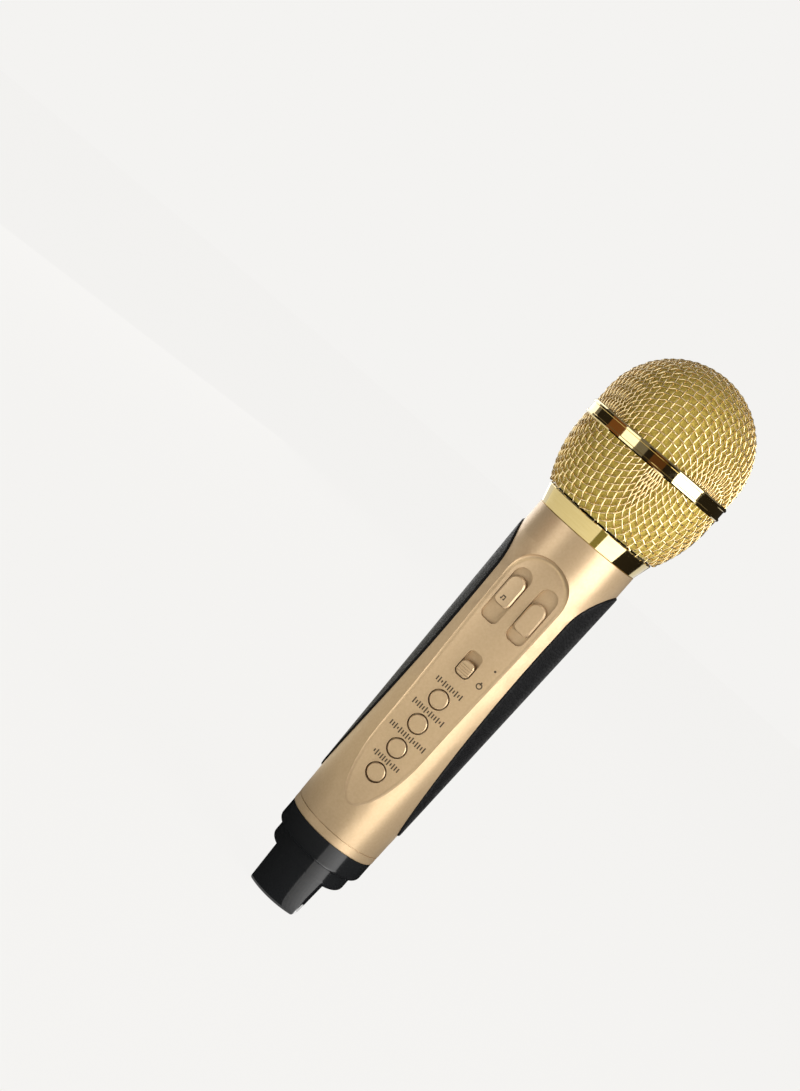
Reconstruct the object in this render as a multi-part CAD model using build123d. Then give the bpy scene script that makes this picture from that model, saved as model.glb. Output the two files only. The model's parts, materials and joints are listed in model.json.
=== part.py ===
from build123d import *
import os
from math import asin, atan2, cos, floor, hypot, pi, sin, sqrt

# Handheld karaoke microphone, millimetres.
# The long axis is +Z, the tail's foot stands on Z = 0 and the control panel faces -Y.

# ---- tail cap, from the foot upwards
TONGUE_H = 14.0            # flat tongue below the small disc
TONGUE_HALF_TOP = 10.45    # half width of the tongue where it leaves the disc
TONGUE_HALF_FOOT = 9.7     # half width at the foot
TONGUE_BACK_Y = -3.0       # rear face of the tongue
TONGUE_CORNER = 1.2        # rounding of the tongue's upright edges
FOOT_EDGE = 0.8            # rounding round the foot
DISC_H = 6.5
DISC_R = 15.2
RING_H = 8.5
RING_STEP = 0.1            # the ring sits this far inside the handle's lower edge
TAIL_EDGE = 2.2            # rounding under the ring and the disc
TAIL_WALL = 1.8
SPIGOT_H = 8.0             # plug of the tail cap inside the handle
SPIGOT_WALL = 1.6

# ---- handle
BODY_H = 133.0             # trim ring's lower edge to the neck ring
BODY_R_LOW = 17.5
BODY_R_TOP = 20.4
STRAIGHT_H = 11.0          # parallel stretch below the neck ring
WALL = 2.0
TRIM_H = 3.6
TRIM_GROOVE_H = 0.35
TRIM_GROOVE_DEPTH = 0.45
SEAM = 0.1                 # gap between the front and rear casings
FIT = 0.1                  # clearance of fixed pieces that plug together
OVER = 1.0                 # cutters run this far past what they cut

# ---- head
NECK_H = 6.9
NECK_FLARE = 1.7           # the neck ring opens this much towards the mesh
NECK_GRILLE_STEP = 0.7     # the mesh stands this far outside the neck ring
BOWL_H = 25.5              # neck ring to band
BOWL_STRAIGHT = 3.4        # upright stretch of mesh below the band
BAND_H = 5.4
BAND_PROUD = 0.3           # the band stands this far outside the mesh
BAND_LIP_H = 1.1
BAND_LIP_STEP = 0.45
DOME_STRAIGHT = 4.8        # upright stretch of mesh above the band
BALL_R = 28.6              # outside of the woven mesh
WIRE = 0.8                 # wire thickness in the mesh
WIRE_GAP = 0.34            # air between crossing wires
MESH_PITCH = 5.0           # wire spacing in the flat cloth
MESH_END = 0.45            # cut wire ends stop this far short of the band and the neck ring
BACKING_H = 1.2            # lips of the band behind the rims of the mesh
FOAM_T = 2.5
FOAM_GAP = 0.3
FOAM_RINGS = 8             # flat rings that step the foam round the dome

# ---- control panel, measured in its own leaning plane
PANEL_SINK = 1.89          # depth of the face inside the handle's lower edge
PANEL_LEAN = 0.9           # degrees: the face leans outwards towards the top
PANEL_CROWN_R = 45.0
PANEL_WALL = 2.9
PANEL_ARCH_R = 12.8
PANEL_TOP_V = 121.3
PANEL_HALF_LOW = 10.8
PANEL_LOW_V = 42.0         # height where the rounded lower end begins
PANEL_END_V = 13.5
PANEL_RUNOUT_R = 200.0     # arc that brings the face back out to the handle
PANEL_FILLET = 2.0

# ---- faders, power switch and buttons
SLOT_X = 5.6
SLOT_W = 7.2
SLOT_LEN = 22.0
SLOT_TOP_V = 113.6
SLOT_GAP = 0.45            # round each cap in its slot
FADER_LEN = 12.0
FADER_PROUD = 1.3
VOLUME_REST = 2.9          # distance of each cap below its upper stop
ECHO_REST = 5.6
POWER_W = 6.0
POWER_LEN = 5.6
POWER_TRAVEL = 3.5
POWER_LOW_V = 71.5
POWER_PROUD = 0.9
APRON_T = 0.8              # sliding plate that closes a slot from behind
APRON_SIDE = 0.7
APRON_SPARE = 0.8
APRON_W = -2.0             # front face of the fader aprons
SLIDE_GAP = 0.1
BUTTON_COUNT = 4
BUTTON_TOP_V = 61.0
BUTTON_SPARE = 1.11        # plain panel between neighbouring flanges
BUTTON_R = 3.2
BUTTON_GAP = 0.52          # ring of air round each button
BUTTON_PROUD = 0.35
BUTTON_TRAVEL = 0.5
BUTTON_FLANGE = 1.15
BUTTON_FLANGE_T = 0.8
BUTTON_EDGE = 0.25

# ---- circuit board and what stands on it
BOARD_W = -11.0            # front face of the board
BOARD_T = 1.6
BOARD_HALF = 13.6
BOARD_LOW_V = 20.0
BOARD_TOP_V = 119.0
BOARD_HOLE_X = 11.6
BOARD_SCREW_V = (25.0, 89.0)
BOARD_POST_R = 2.0
BOARD_PILOT_R = 0.8
BOARD_HOLE_R = 1.1
BOARD_SHANK_R = 0.75
BOARD_HEAD_R = 1.5
BOARD_HEAD_H = 1.0
BOARD_THREAD = 4.0
TACT = 6.0
TACT_H = 3.6
PLUNGER_R = 1.5
POT_H = 4.6
POT_WIDTH = 7.4
LEVER_W = 3.0
LEVER_L = 1.2
LEVER_PLAY = 0.3           # room of a lever in its slit, and its least room at either end
LEVER_SUNK = 1.5           # lever inside the body of its control
SLIT_DEPTH = 2.0
POT_END = 5.0              # pot's body beyond the lever's reach
SWITCH_HALF = 3.6
SWITCH_END = 3.2
SOCKET_HALF = 2.4          # socket under a cap that takes the lever
SOCKET_LOW_W = -6.0
LEVER_TOP_W = -3.6
CAN_HALF = 7.0
CAN_LEN = 16.0
CAN_H = 2.2
CHIP_H = 0.8
PLUNGER_OUT = 1.5          # plunger above the tact switch at rest
PLUNGER_WELL = 2.2

# ---- batteries and their door
CELL_R = 7.15
CELL_LEN = 49.2
CELL_NUB_R = 2.6
CELL_NUB_H = 1.2
CELL_GAP = 0.3
CELL_Y = 5.9
BAY_LOW_V = 60.0
SPRING_LEN = 4.6
CONTACT_T = 0.4
TRAY_T = 1.2
DOOR_HALF = 12.6
DOOR_T = 1.6
DOOR_GAP = 0.25
DOOR_EXTRA = 1.4           # door length beyond the bay at each end
HOOK_X = 7.0
HOOK_W = 4.0
HOOK_LEN = 1.3
HOOK_T = 1.0

# ---- grips
GRIP_PROUD = 0.6
GRIP_SINK = 0.9
GRIP_HALF = 12.9           # widest half width seen from the side
GRIP_WIDE_V = 108.0
GRIP_TOP_V = 124.5
GRIP_END_V = 14.0
GRIP_BEVEL = 0.35
GRIP_SPARE = 2.0           # overrun of the tools that shape the grips

# ---- screws
SCREW_R = 1.2
SCREW_HEAD_R = 2.2
SCREW_HEAD_H = 1.5
BOSS_R = 2.8
BOSS_EXTRA = 0.4           # rear bosses are this much stouter, round the screw heads
HEAD_SUNK = 0.6            # screw heads lie this far below the surface
THREAD_REACH = 9.0         # screws run this far into the front bosses
CROSS = 2.6                # cross slots in the screw heads
CROSS_W = 0.6
CROSS_DEPTH = 0.7
LUG_HALF = 5.0             # lug that takes the tail screw
LUG_FRONT = 4.0
LUG_H = 6.0
CASE_SCREW_X = 9.0
CASE_SCREW_LOW = 11.4      # lower casing screws above the casings' lower edge
CASE_SCREW_HIGH = 9.4      # upper casing screws below the neck ring
TAIL_SCREW_Y = 7.5
TAIL_HEAD_SUNK = 0.5       # tail screw's head below the disc's face
TAIL_THREAD = 4.5          # tail screw past the plug

# ---- aerial in the tongue
AERIAL_Y = -9.0
AERIAL_LEN = 24.0
AERIAL_CORE_R = 1.5
AERIAL_TURN_R = 2.3
AERIAL_TURNS = 5
AERIAL_PITCH = 3.4
AERIAL_FOOT = TAIL_WALL + 0.6

# ---- capsule and leads
LEAD_R = 0.5
CAPSULE_R = 15.5
CAPSULE_H = 17.0
CAPSULE_WALL = 1.2
CAPSULE_RISE = 17.1        # capsule floor above the neck ring
STEM_R = 6.2
POST_R = 9.0
POST_WALL = 2.0
SHOCK_R = 11.5
SHOCK_H = 6.0
CARRIER_SKIRT = 6.0
CARRIER_RIB = 0.8
CARRIER_WALL = 1.6
CARRIER_DECK = 1.0         # the deck lies this far below the neck ring's top
STEM_WALL = 1.2
STEM_TAIL = 2.0            # stem below the shock mount
CUP_FLOOR = 1.5
CUP_EDGE = 1.0
MAGNET_BORE_R = 5.2
MAGNET_R = 10.5
MAGNET_H = 8.0
FILM_T = 0.3
FILM_DROP = 2.2            # diaphragm's rim below the rim of the cup
FILM_DOME_R = 5.5
FILM_ROLL_R = 7.0
FILM_DOME_H = 1.0
FILM_ROLL_H = 0.5
LID_T = 2.4
LID_EDGE = 1.2
LID_SLOTS = 6
LID_SLOT_R = 7.5
LID_SLOT_LEN = 8.0
LID_SLOT_W = 2.6

# ---- levels that follow from the sizes above
BODY_Z0 = TONGUE_H + DISC_H + RING_H
RING_R = BODY_R_LOW - RING_STEP
NECK_R_TOP = BODY_R_TOP + NECK_FLARE
BAND_R = BALL_R + BAND_PROUD
PANEL_Y_LOW = BODY_R_LOW - PANEL_SINK
BUTTON_HOLE_R = BUTTON_R + BUTTON_GAP
BUTTON_PITCH = 2 * (BUTTON_HOLE_R + BUTTON_FLANGE) + BUTTON_SPARE
BODY_Z1 = BODY_Z0 + BODY_H
TAPER_Z1 = BODY_Z1 - STRAIGHT_H
CASE_Z0 = BODY_Z0 + TRIM_H
NECK_Z1 = BODY_Z1 + NECK_H
CASE_SCREW_Z = (CASE_Z0 + CASE_SCREW_LOW, BODY_Z1 - CASE_SCREW_HIGH)
CAPSULE_FLOOR_Z = NECK_Z1 + CAPSULE_RISE
BAND_Z0 = NECK_Z1 + BOWL_H
BAND_Z1 = BAND_Z0 + BAND_H
BAND_MID = (BAND_Z0 + BAND_Z1) / 2
DOME_Z = BAND_Z1 + DOME_STRAIGHT
MESH_AMP = (WIRE + WIRE_GAP) / 2
MESH_R = BALL_R - MESH_AMP - WIRE / 2
MESH_INSIDE = MESH_R - MESH_AMP - WIRE / 2
FOAM_R = MESH_INSIDE - FOAM_GAP
TRAVEL = SLOT_LEN - FADER_LEN - 2 * SLOT_GAP
PANEL = Plane(
    origin=(0, -PANEL_Y_LOW, BODY_Z0),
    x_dir=(1, 0, 0),
    z_dir=(0, -cos(PANEL_LEAN * pi / 180), -sin(PANEL_LEAN * pi / 180)),
)
DOOR_Z0 = BODY_Z0 + BAY_LOW_V - DOOR_EXTRA
BAY_LEN = CELL_LEN + CELL_NUB_H + SPRING_LEN + 2 * CONTACT_T
DOOR_Z1 = BODY_Z0 + BAY_LOW_V + BAY_LEN + 2 * TRAY_T + DOOR_EXTRA


def handle_radius(z):
    """Outside radius of the handle at height z."""
    share = min(1.0, (z - BODY_Z0) / (TAPER_Z1 - BODY_Z0))
    return BODY_R_LOW + (BODY_R_TOP - BODY_R_LOW) * share


def turned(*points):
    """Solid of revolution from (radius, height) corners."""
    return revolve(make_face(Plane.XZ * Polyline(*points, close=True)), Axis.Z)


def handle_solid(offset, z0, z1):
    """The handle's tapered form between two heights, grown or shrunk by offset."""
    rims = [z for z in (z0, TAPER_Z1, z1) if z0 <= z <= z1]
    wall = [(handle_radius(z) + offset, z) for z in rims]
    return turned((0, z0), *wall, (0, z1))


def block(x0, x1, y0, y1, z0, z1):
    """Box between two corners."""
    size = Box(x1 - x0, y1 - y0, z1 - z0, align=(Align.MIN, Align.MIN, Align.MIN))
    return Pos(x0, y0, z0) * size


def rod(radius, x, y, z0, z1):
    """Round bar along Z."""
    bar = Cylinder(radius, z1 - z0, align=(Align.CENTER, Align.CENTER, Align.MIN))
    return Pos(x, y, z0) * bar


def bar_y(radius, x, z, y0, y1):
    """Round bar along Y."""
    return Pos(x, y0, z) * Rot(-90, 0, 0) * rod(radius, 0, 0, 0, y1 - y0)


# ---- woven mesh

def dome_point(rho, phi, lift):
    """Place on the upper mesh: rho runs from the pole, lift stands off the surface."""
    arc = MESH_R * pi / 2
    tilt = min(rho, arc) / MESH_R
    drop = max(0.0, rho - arc)
    radius = (MESH_R + lift) * sin(tilt)
    height = DOME_Z + (MESH_R + lift) * cos(tilt) - drop
    return Vector(radius * cos(phi), radius * sin(phi), height)


BOWL_RISE = BOWL_H - BOWL_STRAIGHT
BOWL_INSET = BALL_R - NECK_R_TOP - NECK_GRILLE_STEP
BOWL_ARC_R = (BOWL_RISE ** 2 + BOWL_INSET ** 2) / (2 * BOWL_INSET)
BOWL_TILT = atan2(BOWL_RISE, BOWL_ARC_R - BOWL_INSET)
BOWL_Z = NECK_Z1 + BOWL_RISE
BOWL_IN = NECK_R_TOP


def bowl_point(rho, phi, lift):
    """Place on the lower mesh: rho starts at BOWL_IN on the neck ring."""
    run = rho - BOWL_IN
    arc = BOWL_ARC_R * BOWL_TILT
    tilt = BOWL_TILT - min(run, arc) / BOWL_ARC_R
    rise = max(0.0, run - arc)
    reach = BOWL_ARC_R + lift
    radius = MESH_R - BOWL_ARC_R + reach * cos(tilt)
    height = BOWL_Z - reach * sin(tilt) + rise
    return Vector(radius * cos(phi), radius * sin(phi), height)


def wire_solid(points, normals):
    """One wire of square section along a run of points."""
    rings = []
    last = len(points) - 1
    for i, (point, normal) in enumerate(zip(points, normals)):
        run = points[min(i + 1, last)] - points[max(i - 1, 0)]
        side = run.cross(normal).normalized() * (WIRE / 2)
        up = side.cross(run).normalized() * (WIRE / 2)
        rings.append((point + side + up, point - side + up, point - side - up, point + side - up))
    faces = [Face(Wire.make_polygon(ring, close=True)) for ring in (rings[0], rings[-1])]
    for near, far in zip(rings, rings[1:]):
        for k in range(4):
            rails = [Edge.make_line(ring[k - 1], ring[k]) for ring in (near, far)]
            faces.append(Face.make_surface_from_curves(*rails))
    return Solid(Shell(faces))


def cloth_stretches(offset, rho_in, rho_out):
    """Stretches of one wire between the inner and outer rims of the flat cloth."""
    outer = sqrt(rho_out ** 2 - offset ** 2)
    if abs(offset) >= rho_in:
        return [(-outer, outer)]
    inner = sqrt(rho_in ** 2 - offset ** 2)
    return [(-outer, -inner), (inner, outer)]


def wave(number, family, along):
    """Lift of a wire off the cloth's middle: a zigzag that turns at every crossing."""
    crossing = floor(along / MESH_PITCH - 0.5)
    share = along / MESH_PITCH - 0.5 - crossing
    return MESH_AMP * (-1) ** (number + crossing + family) * (1 - 2 * share)


def woven_wire(surface, family, number, stretch):
    """A wire that bends at each crossing and stops short of its rims."""
    start, stop = stretch
    first = floor(start / MESH_PITCH + 0.5)
    crossings = [(j + 0.5) * MESH_PITCH for j in range(first, floor(stop / MESH_PITCH + 0.5))]
    inner = [c for c in crossings if start + WIRE < c < stop - WIRE]
    points = []
    normals = []
    for along in [start, *inner, stop]:
        offset = (number + 0.5) * MESH_PITCH
        x, y = (offset, along) if family == 0 else (along, offset)
        rho, phi = hypot(x, y), atan2(y, x)
        points.append(surface(rho, phi, wave(number, family, along)))
        normals.append(surface(rho, phi, 1.0) - surface(rho, phi, 0.0))
    return wire_solid(points, normals)


def woven(surface, rho_in, rho_out):
    """Two crossed sets of wires, each passing over and under the other in turn."""
    widest = sqrt(rho_out ** 2 - (0.7 * MESH_PITCH) ** 2)
    count = floor(widest / MESH_PITCH + 0.5)
    return [
        woven_wire(surface, family, number, stretch)
        for family in (0, 1)
        for number in range(-count, count)
        for stretch in cloth_stretches((number + 0.5) * MESH_PITCH, rho_in, rho_out)
    ]


def upper_grille():
    """Domed woven mesh over the capsule."""
    return woven(dome_point, 0.0, MESH_R * pi / 2 + DOME_STRAIGHT - MESH_END)


def lower_grille():
    """Bowl of the same mesh between the neck ring and the band."""
    rim = BOWL_IN + BOWL_ARC_R * BOWL_TILT + BOWL_STRAIGHT
    return woven(bowl_point, BOWL_IN + MESH_END, rim - MESH_END)


def grille_band():
    """Stepped ring between the meshes, with backing lips inside both rims."""
    inner = FOAM_R + FIT
    backing = MESH_INSIDE - FIT / 2
    core = BAND_R - BAND_LIP_STEP
    lip = BAND_LIP_H + 0.2
    return turned(
        (inner, BAND_Z0 - BACKING_H), (backing, BAND_Z0 - BACKING_H), (backing, BAND_Z0),
        (core, BAND_Z0), (BAND_R, BAND_Z0 + BAND_LIP_STEP),
        (BAND_R, BAND_Z0 + BAND_LIP_H), (core, BAND_Z0 + lip),
        (core, BAND_Z1 - lip), (BAND_R, BAND_Z1 - BAND_LIP_H),
        (BAND_R, BAND_Z1 - BAND_LIP_STEP), (core, BAND_Z1),
        (backing, BAND_Z1), (backing, BAND_Z1 + BACKING_H), (inner, BAND_Z1 + BACKING_H),
    )


def neck_ring():
    """Flared collar between the handle and the mesh."""
    bore = BODY_R_TOP - WALL + FIT
    edge = 0.3
    return turned(
        (bore, BODY_Z1), (BODY_R_TOP - edge, BODY_Z1), (BODY_R_TOP - 0.1, BODY_Z1 + edge),
        (NECK_R_TOP, NECK_Z1 - edge), (NECK_R_TOP - edge / 2, NECK_Z1), (bore, NECK_Z1),
    )


def foam_wall(centre_r, centre_z, reach, tilt0, tilt1, count):
    """Corners along one wall of a windscreen, cut as flat rings of foam."""
    tilts = [tilt0 + (tilt1 - tilt0) * i / count for i in range(count + 1)]
    return [(centre_r + reach * cos(t), centre_z + reach * sin(t)) for t in tilts]


def upper_windscreen():
    """Domed foam liner behind the upper mesh."""
    outer = foam_wall(0.0, DOME_Z, FOAM_R, 0.0, pi / 2, FOAM_RINGS)
    inner = foam_wall(0.0, DOME_Z, FOAM_R - FOAM_T, pi / 2, 0.0, FOAM_RINGS)
    return turned((FOAM_R, BAND_MID), *outer, *inner, (FOAM_R - FOAM_T, BAND_MID))


def lower_windscreen():
    """Foam liner behind the lower mesh, from the neck ring to the band."""
    base = NECK_Z1 + FIT
    top = BAND_MID - FIT
    centre = MESH_R - BOWL_ARC_R
    reach = BOWL_ARC_R + FOAM_R - MESH_R
    tilt_out = -asin((BOWL_Z - base) / reach)
    tilt_in = -asin((BOWL_Z - base) / (reach - FOAM_T))
    outer = foam_wall(centre, BOWL_Z, reach, tilt_out, 0.0, FOAM_RINGS // 2)
    inner = foam_wall(centre, BOWL_Z, reach - FOAM_T, 0.0, tilt_in, FOAM_RINGS // 2)
    return turned(*outer, (centre + reach, top), (centre + reach - FOAM_T, top), *inner)


def capsule_carrier():
    """Moulded post that plugs into the casing and carries the capsule."""
    skirt = BODY_R_TOP - WALL - FIT / 2
    deck = NECK_Z1 - CARRIER_DECK
    post_top = CAPSULE_FLOOR_Z - SHOCK_H
    bore = POST_R - POST_WALL
    rib_z = BODY_Z1 - CARRIER_SKIRT / 2
    return turned(
        (skirt - CARRIER_WALL, BODY_Z1 - CARRIER_SKIRT), (skirt, BODY_Z1 - CARRIER_SKIRT), (skirt, rib_z),
        (skirt + CARRIER_RIB, rib_z), (skirt + CARRIER_RIB, rib_z + CARRIER_RIB), (skirt, rib_z + CARRIER_RIB),
        (skirt, deck), (POST_R, deck), (POST_R, post_top), (bore, post_top),
        (bore, deck - CARRIER_WALL), (skirt - CARRIER_WALL, deck - CARRIER_WALL),
    )


def shock_mount():
    """Rubber ring between the post and the capsule."""
    top = CAPSULE_FLOOR_Z - FIT
    low = CAPSULE_FLOOR_Z - SHOCK_H + FIT
    waist = (top + low) / 2
    return turned(
        (STEM_R + FIT, low), (POST_R, low), (SHOCK_R - 1.5, waist), (SHOCK_R, top), (STEM_R + FIT, top),
    )


def capsule_cup():
    """Metal cup of the capsule with its hollow stem."""
    floor_z = CAPSULE_FLOOR_Z
    rim = floor_z + CAPSULE_H
    inner = CAPSULE_R - CAPSULE_WALL
    bore = STEM_R - STEM_WALL
    stem_low = floor_z - SHOCK_H - STEM_TAIL
    return turned(
        (bore, stem_low), (STEM_R, stem_low), (STEM_R, floor_z), (CAPSULE_R - CUP_EDGE, floor_z),
        (CAPSULE_R, floor_z + CUP_EDGE), (CAPSULE_R, rim), (inner, rim),
        (inner, floor_z + CUP_FLOOR), (bore, floor_z + CUP_FLOOR),
    )


def capsule_magnet():
    """Magnet and yoke inside the cup."""
    low = CAPSULE_FLOOR_Z + CUP_FLOOR + FIT
    high = low + MAGNET_H
    return turned((MAGNET_BORE_R, low), (MAGNET_R, low), (MAGNET_R, high), (MAGNET_BORE_R, high))


def capsule_diaphragm():
    """Thin domed diaphragm with one roll round the dome."""
    rim = CAPSULE_FLOOR_Z + CAPSULE_H - FILM_DROP
    edge = CAPSULE_R - CAPSULE_WALL - FIT
    under = [(0, FILM_DOME_H), (FILM_DOME_R, 0), (FILM_ROLL_R, FILM_ROLL_H), (edge, 0)]
    lower = [(r, rim + rise) for r, rise in under]
    upper = [(r, rim + rise + FILM_T) for r, rise in reversed(under)]
    return turned(*lower, *upper)


def capsule_front():
    """Perforated lid of the capsule."""
    low = CAPSULE_FLOOR_Z + CAPSULE_H + FIT
    high = low + LID_T
    lid = turned(
        (0, low), (CAPSULE_R, low), (CAPSULE_R, high - LID_EDGE), (CAPSULE_R - LID_EDGE, high), (0, high)
    )
    slot = extrude(SlotOverall(LID_SLOT_LEN, LID_SLOT_W), 2 * LID_T)
    spots = [Rot(0, 0, 360 / LID_SLOTS * i) * Pos(LID_SLOT_R, 0, low - OVER) for i in range(LID_SLOTS)]
    return lid - [spot * slot for spot in spots]


# ---- handle casings

def panel_recess():
    """What is cut from the front casing to leave the crowned panel face."""
    arch_v = PANEL_TOP_V - PANEL_ARCH_R
    down, up = (0, -1), (0, 1)
    outline = [
        CenterArc((0, arch_v), PANEL_ARCH_R, 0, 180),
        Spline((-PANEL_ARCH_R, arch_v), (-PANEL_HALF_LOW, PANEL_LOW_V), tangents=(down, down)),
        EllipticalCenterArc(
            (0, PANEL_LOW_V), PANEL_HALF_LOW, PANEL_LOW_V - PANEL_END_V, 180, arc_size=180
        ),
        Spline((PANEL_HALF_LOW, PANEL_LOW_V), (PANEL_ARCH_R, arch_v), tangents=(up, up)),
    ]
    prism = Pos(0, 0, -8) * extrude(make_face(Curve(children=outline)), 20)
    start_v = PANEL_END_V - 8
    rise = PANEL_RUNOUT_R - sqrt(PANEL_RUNOUT_R ** 2 - (PANEL_LOW_V - start_v) ** 2)
    half_v = (PANEL_LOW_V + start_v) / 2
    half_rise = PANEL_RUNOUT_R - sqrt(PANEL_RUNOUT_R ** 2 - (PANEL_LOW_V - half_v) ** 2)
    side = [
        Polyline((PANEL_LOW_V, 0), (PANEL_TOP_V + 8, 0), (PANEL_TOP_V + 8, -PANEL_CROWN_R),
                 (start_v, -PANEL_CROWN_R), (start_v, rise)),
        ThreePointArc((start_v, rise), (half_v, half_rise), (PANEL_LOW_V, 0)),
    ]
    core = revolve(make_face(Plane.YZ * Curve(children=side)), Axis((0, 0, -PANEL_CROWN_R), (0, 1, 0)))
    recess = prism - core
    inner = [e for e in recess.edges() if e.bounding_box().max.Z < 7.9]
    recess = fillet([e for e in inner if abs(crown_gap(e)) < 0.01], PANEL_FILLET)
    return PANEL.location * recess


def crown_gap(edge):
    """Distance of an edge's middle from the crowned panel face."""
    middle = edge @ 0.5
    run = max(0.0, PANEL_LOW_V - middle.Y)
    rise = PANEL_RUNOUT_R - sqrt(PANEL_RUNOUT_R ** 2 - run ** 2)
    return hypot(middle.X, middle.Z + PANEL_CROWN_R) - PANEL_CROWN_R - rise


def fader_box(side, spare, w0, w1):
    """Box in panel space round the whole reach of one fader's apron."""
    half = SLOT_W / 2 + APRON_SIDE + spare
    reach = APRON_SPARE + TRAVEL
    low = SLOT_TOP_V - SLOT_LEN + SLOT_GAP - reach - spare
    high = SLOT_TOP_V - SLOT_GAP + reach + spare
    return block(side * SLOT_X - half, side * SLOT_X + half, low, high, w0, w1)


def slot_cutter(x, low, high, width, round_top):
    """Through cut of a slot: full round at the top end of the faders, soft corners below."""
    corner = 0.33 * width
    outline = Pos(x, (low + high) / 2) * RectangleRounded(width, high - low, corner)
    if round_top:
        outline += Pos(x, high - width / 2) * Circle(width / 2)
        outline -= Pos(x, high - width / 4) * Rectangle(width + 2, width / 2) - Pos(x, high - width / 2) * Circle(width / 2)
    return Pos(0, 0, -8) * extrude(outline, 16)


def button_v(i):
    """Height of button i along the panel, from the top one down."""
    return BUTTON_TOP_V - i * BUTTON_PITCH


def panel_openings():
    """Slots, button holes and apron pockets, in panel space."""
    cuts = []
    for side in (-1, 1):
        cuts.append(slot_cutter(side * SLOT_X, SLOT_TOP_V - SLOT_LEN, SLOT_TOP_V, SLOT_W, True))
        cuts.append(fader_box(side, SLIDE_GAP, -PANEL_WALL - 1, APRON_W + SLIDE_GAP))
    power_top = POWER_LOW_V + POWER_LEN + POWER_TRAVEL + 2 * SLOT_GAP
    cuts.append(slot_cutter(0, POWER_LOW_V, power_top, POWER_W, False))
    for i in range(BUTTON_COUNT):
        cuts.append(rod(BUTTON_HOLE_R, 0, button_v(i), -8, 8))
    return cuts


def case_shell():
    """Whole handle wall before it is split, with the flat landing behind the panel."""
    inner = handle_solid(-WALL, CASE_Z0 - 1, BODY_Z1 + 1)
    landing = PANEL.location * block(-20, 20, PANEL_END_V - 4, PANEL_TOP_V + 2.6, -PANEL_WALL, 20)
    rib_z = BODY_Z1 - CARRIER_SKIRT / 2 - FIT
    rib_r = BODY_R_TOP - WALL + CARRIER_RIB + FIT
    groove = rod(rib_r, 0, 0, rib_z, rib_z + CARRIER_RIB + 2 * FIT)
    return handle_solid(0, CASE_Z0, BODY_Z1) - (inner - landing) - groove


def grip_outline(spare):
    """Leaf outline of a grip seen from the side, as a prism across the whole handle."""
    wide = BODY_Z0 + GRIP_WIDE_V
    half = GRIP_HALF + spare
    outline = [
        EllipticalCenterArc((0, wide), half, GRIP_TOP_V - GRIP_WIDE_V + spare, 0, arc_size=180),
        EllipticalCenterArc((0, wide), half, GRIP_WIDE_V - GRIP_END_V + spare, 180, arc_size=180),
    ]
    return extrude(make_face(Plane.YZ * Curve(children=outline)), 40, both=True)


def grip_bed():
    """Shallow bed for both grips."""
    low = BODY_Z0 + GRIP_END_V - GRIP_SPARE
    high = BODY_Z0 + GRIP_TOP_V + GRIP_SPARE
    shell = handle_solid(5, low, high) - handle_solid(-GRIP_SINK, low - 1, high + 1)
    return grip_outline(FIT) & shell


def grip(side):
    """Rubber side grip with a bevelled rim."""
    low = BODY_Z0 + GRIP_END_V - GRIP_SPARE
    high = BODY_Z0 + GRIP_TOP_V + GRIP_SPARE
    skin = handle_solid(GRIP_PROUD, low, high)
    core = handle_solid(-GRIP_SINK + FIT / 2, low - 1, high + 1)
    x0, x1 = (0, 40) if side > 0 else (-40, 0)
    pad = (grip_outline(0.0) & (skin - core)) & block(x0, x1, -30, 30, 0, 200)
    rim = [e for e in pad.edges() if min(rim_offset(e @ t) for t in (0.1, 0.5, 0.9)) > GRIP_PROUD - 0.02]
    return chamfer(rim, GRIP_BEVEL)


def rim_offset(point):
    """How far a point stands outside the bare handle."""
    return hypot(point.X, point.Y) - handle_radius(point.Z)


def screw_boss(x, z, radius, y0, y1):
    """Round post along Y, trimmed to the inside of the handle wall."""
    inside = handle_solid(-WALL / 2, z - 10, z + 10)
    return bar_y(radius, x, z, y0, y1) & inside


def case_screw_spots():
    """Centres of the casing screws in plan."""
    return [(side * CASE_SCREW_X, z) for z in CASE_SCREW_Z for side in (-1, 1)]


def front_casing():
    """Front half of the handle: crowned control panel, slots, button holes and bosses."""
    shell = case_shell() & block(-30, 30, -40, -SEAM / 2, 0, 250)
    for x, z in case_screw_spots():
        shell += screw_boss(x, z, BOSS_R, -25, -SEAM / 2)
    for side in (-1, 1):
        for v in BOARD_SCREW_V:
            post = PANEL.location * rod(BOARD_POST_R, side * BOARD_HOLE_X, v, BOARD_W + FIT / 2, -PANEL_WALL / 2)
            shell += post & handle_solid(-WALL / 2, CASE_Z0, BODY_Z1)
    shell -= panel_recess()
    shell -= [PANEL.location * cut for cut in panel_openings()]
    shell -= grip_bed()
    for x, z in case_screw_spots():
        shell -= bar_y(SCREW_R, x, z, -THREAD_REACH - OVER, OVER)
    for side in (-1, 1):
        for v in BOARD_SCREW_V:
            shell -= PANEL.location * rod(BOARD_PILOT_R, side * BOARD_HOLE_X, v, BOARD_W - OVER, BOARD_W + BOARD_THREAD + OVER)
    return shell


def door_outline(spare):
    """Prism through the rear wall where the battery door sits."""
    half = DOOR_HALF + spare
    return block(-half, half, 0, 40, DOOR_Z0 - spare, DOOR_Z1 + spare)


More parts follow.
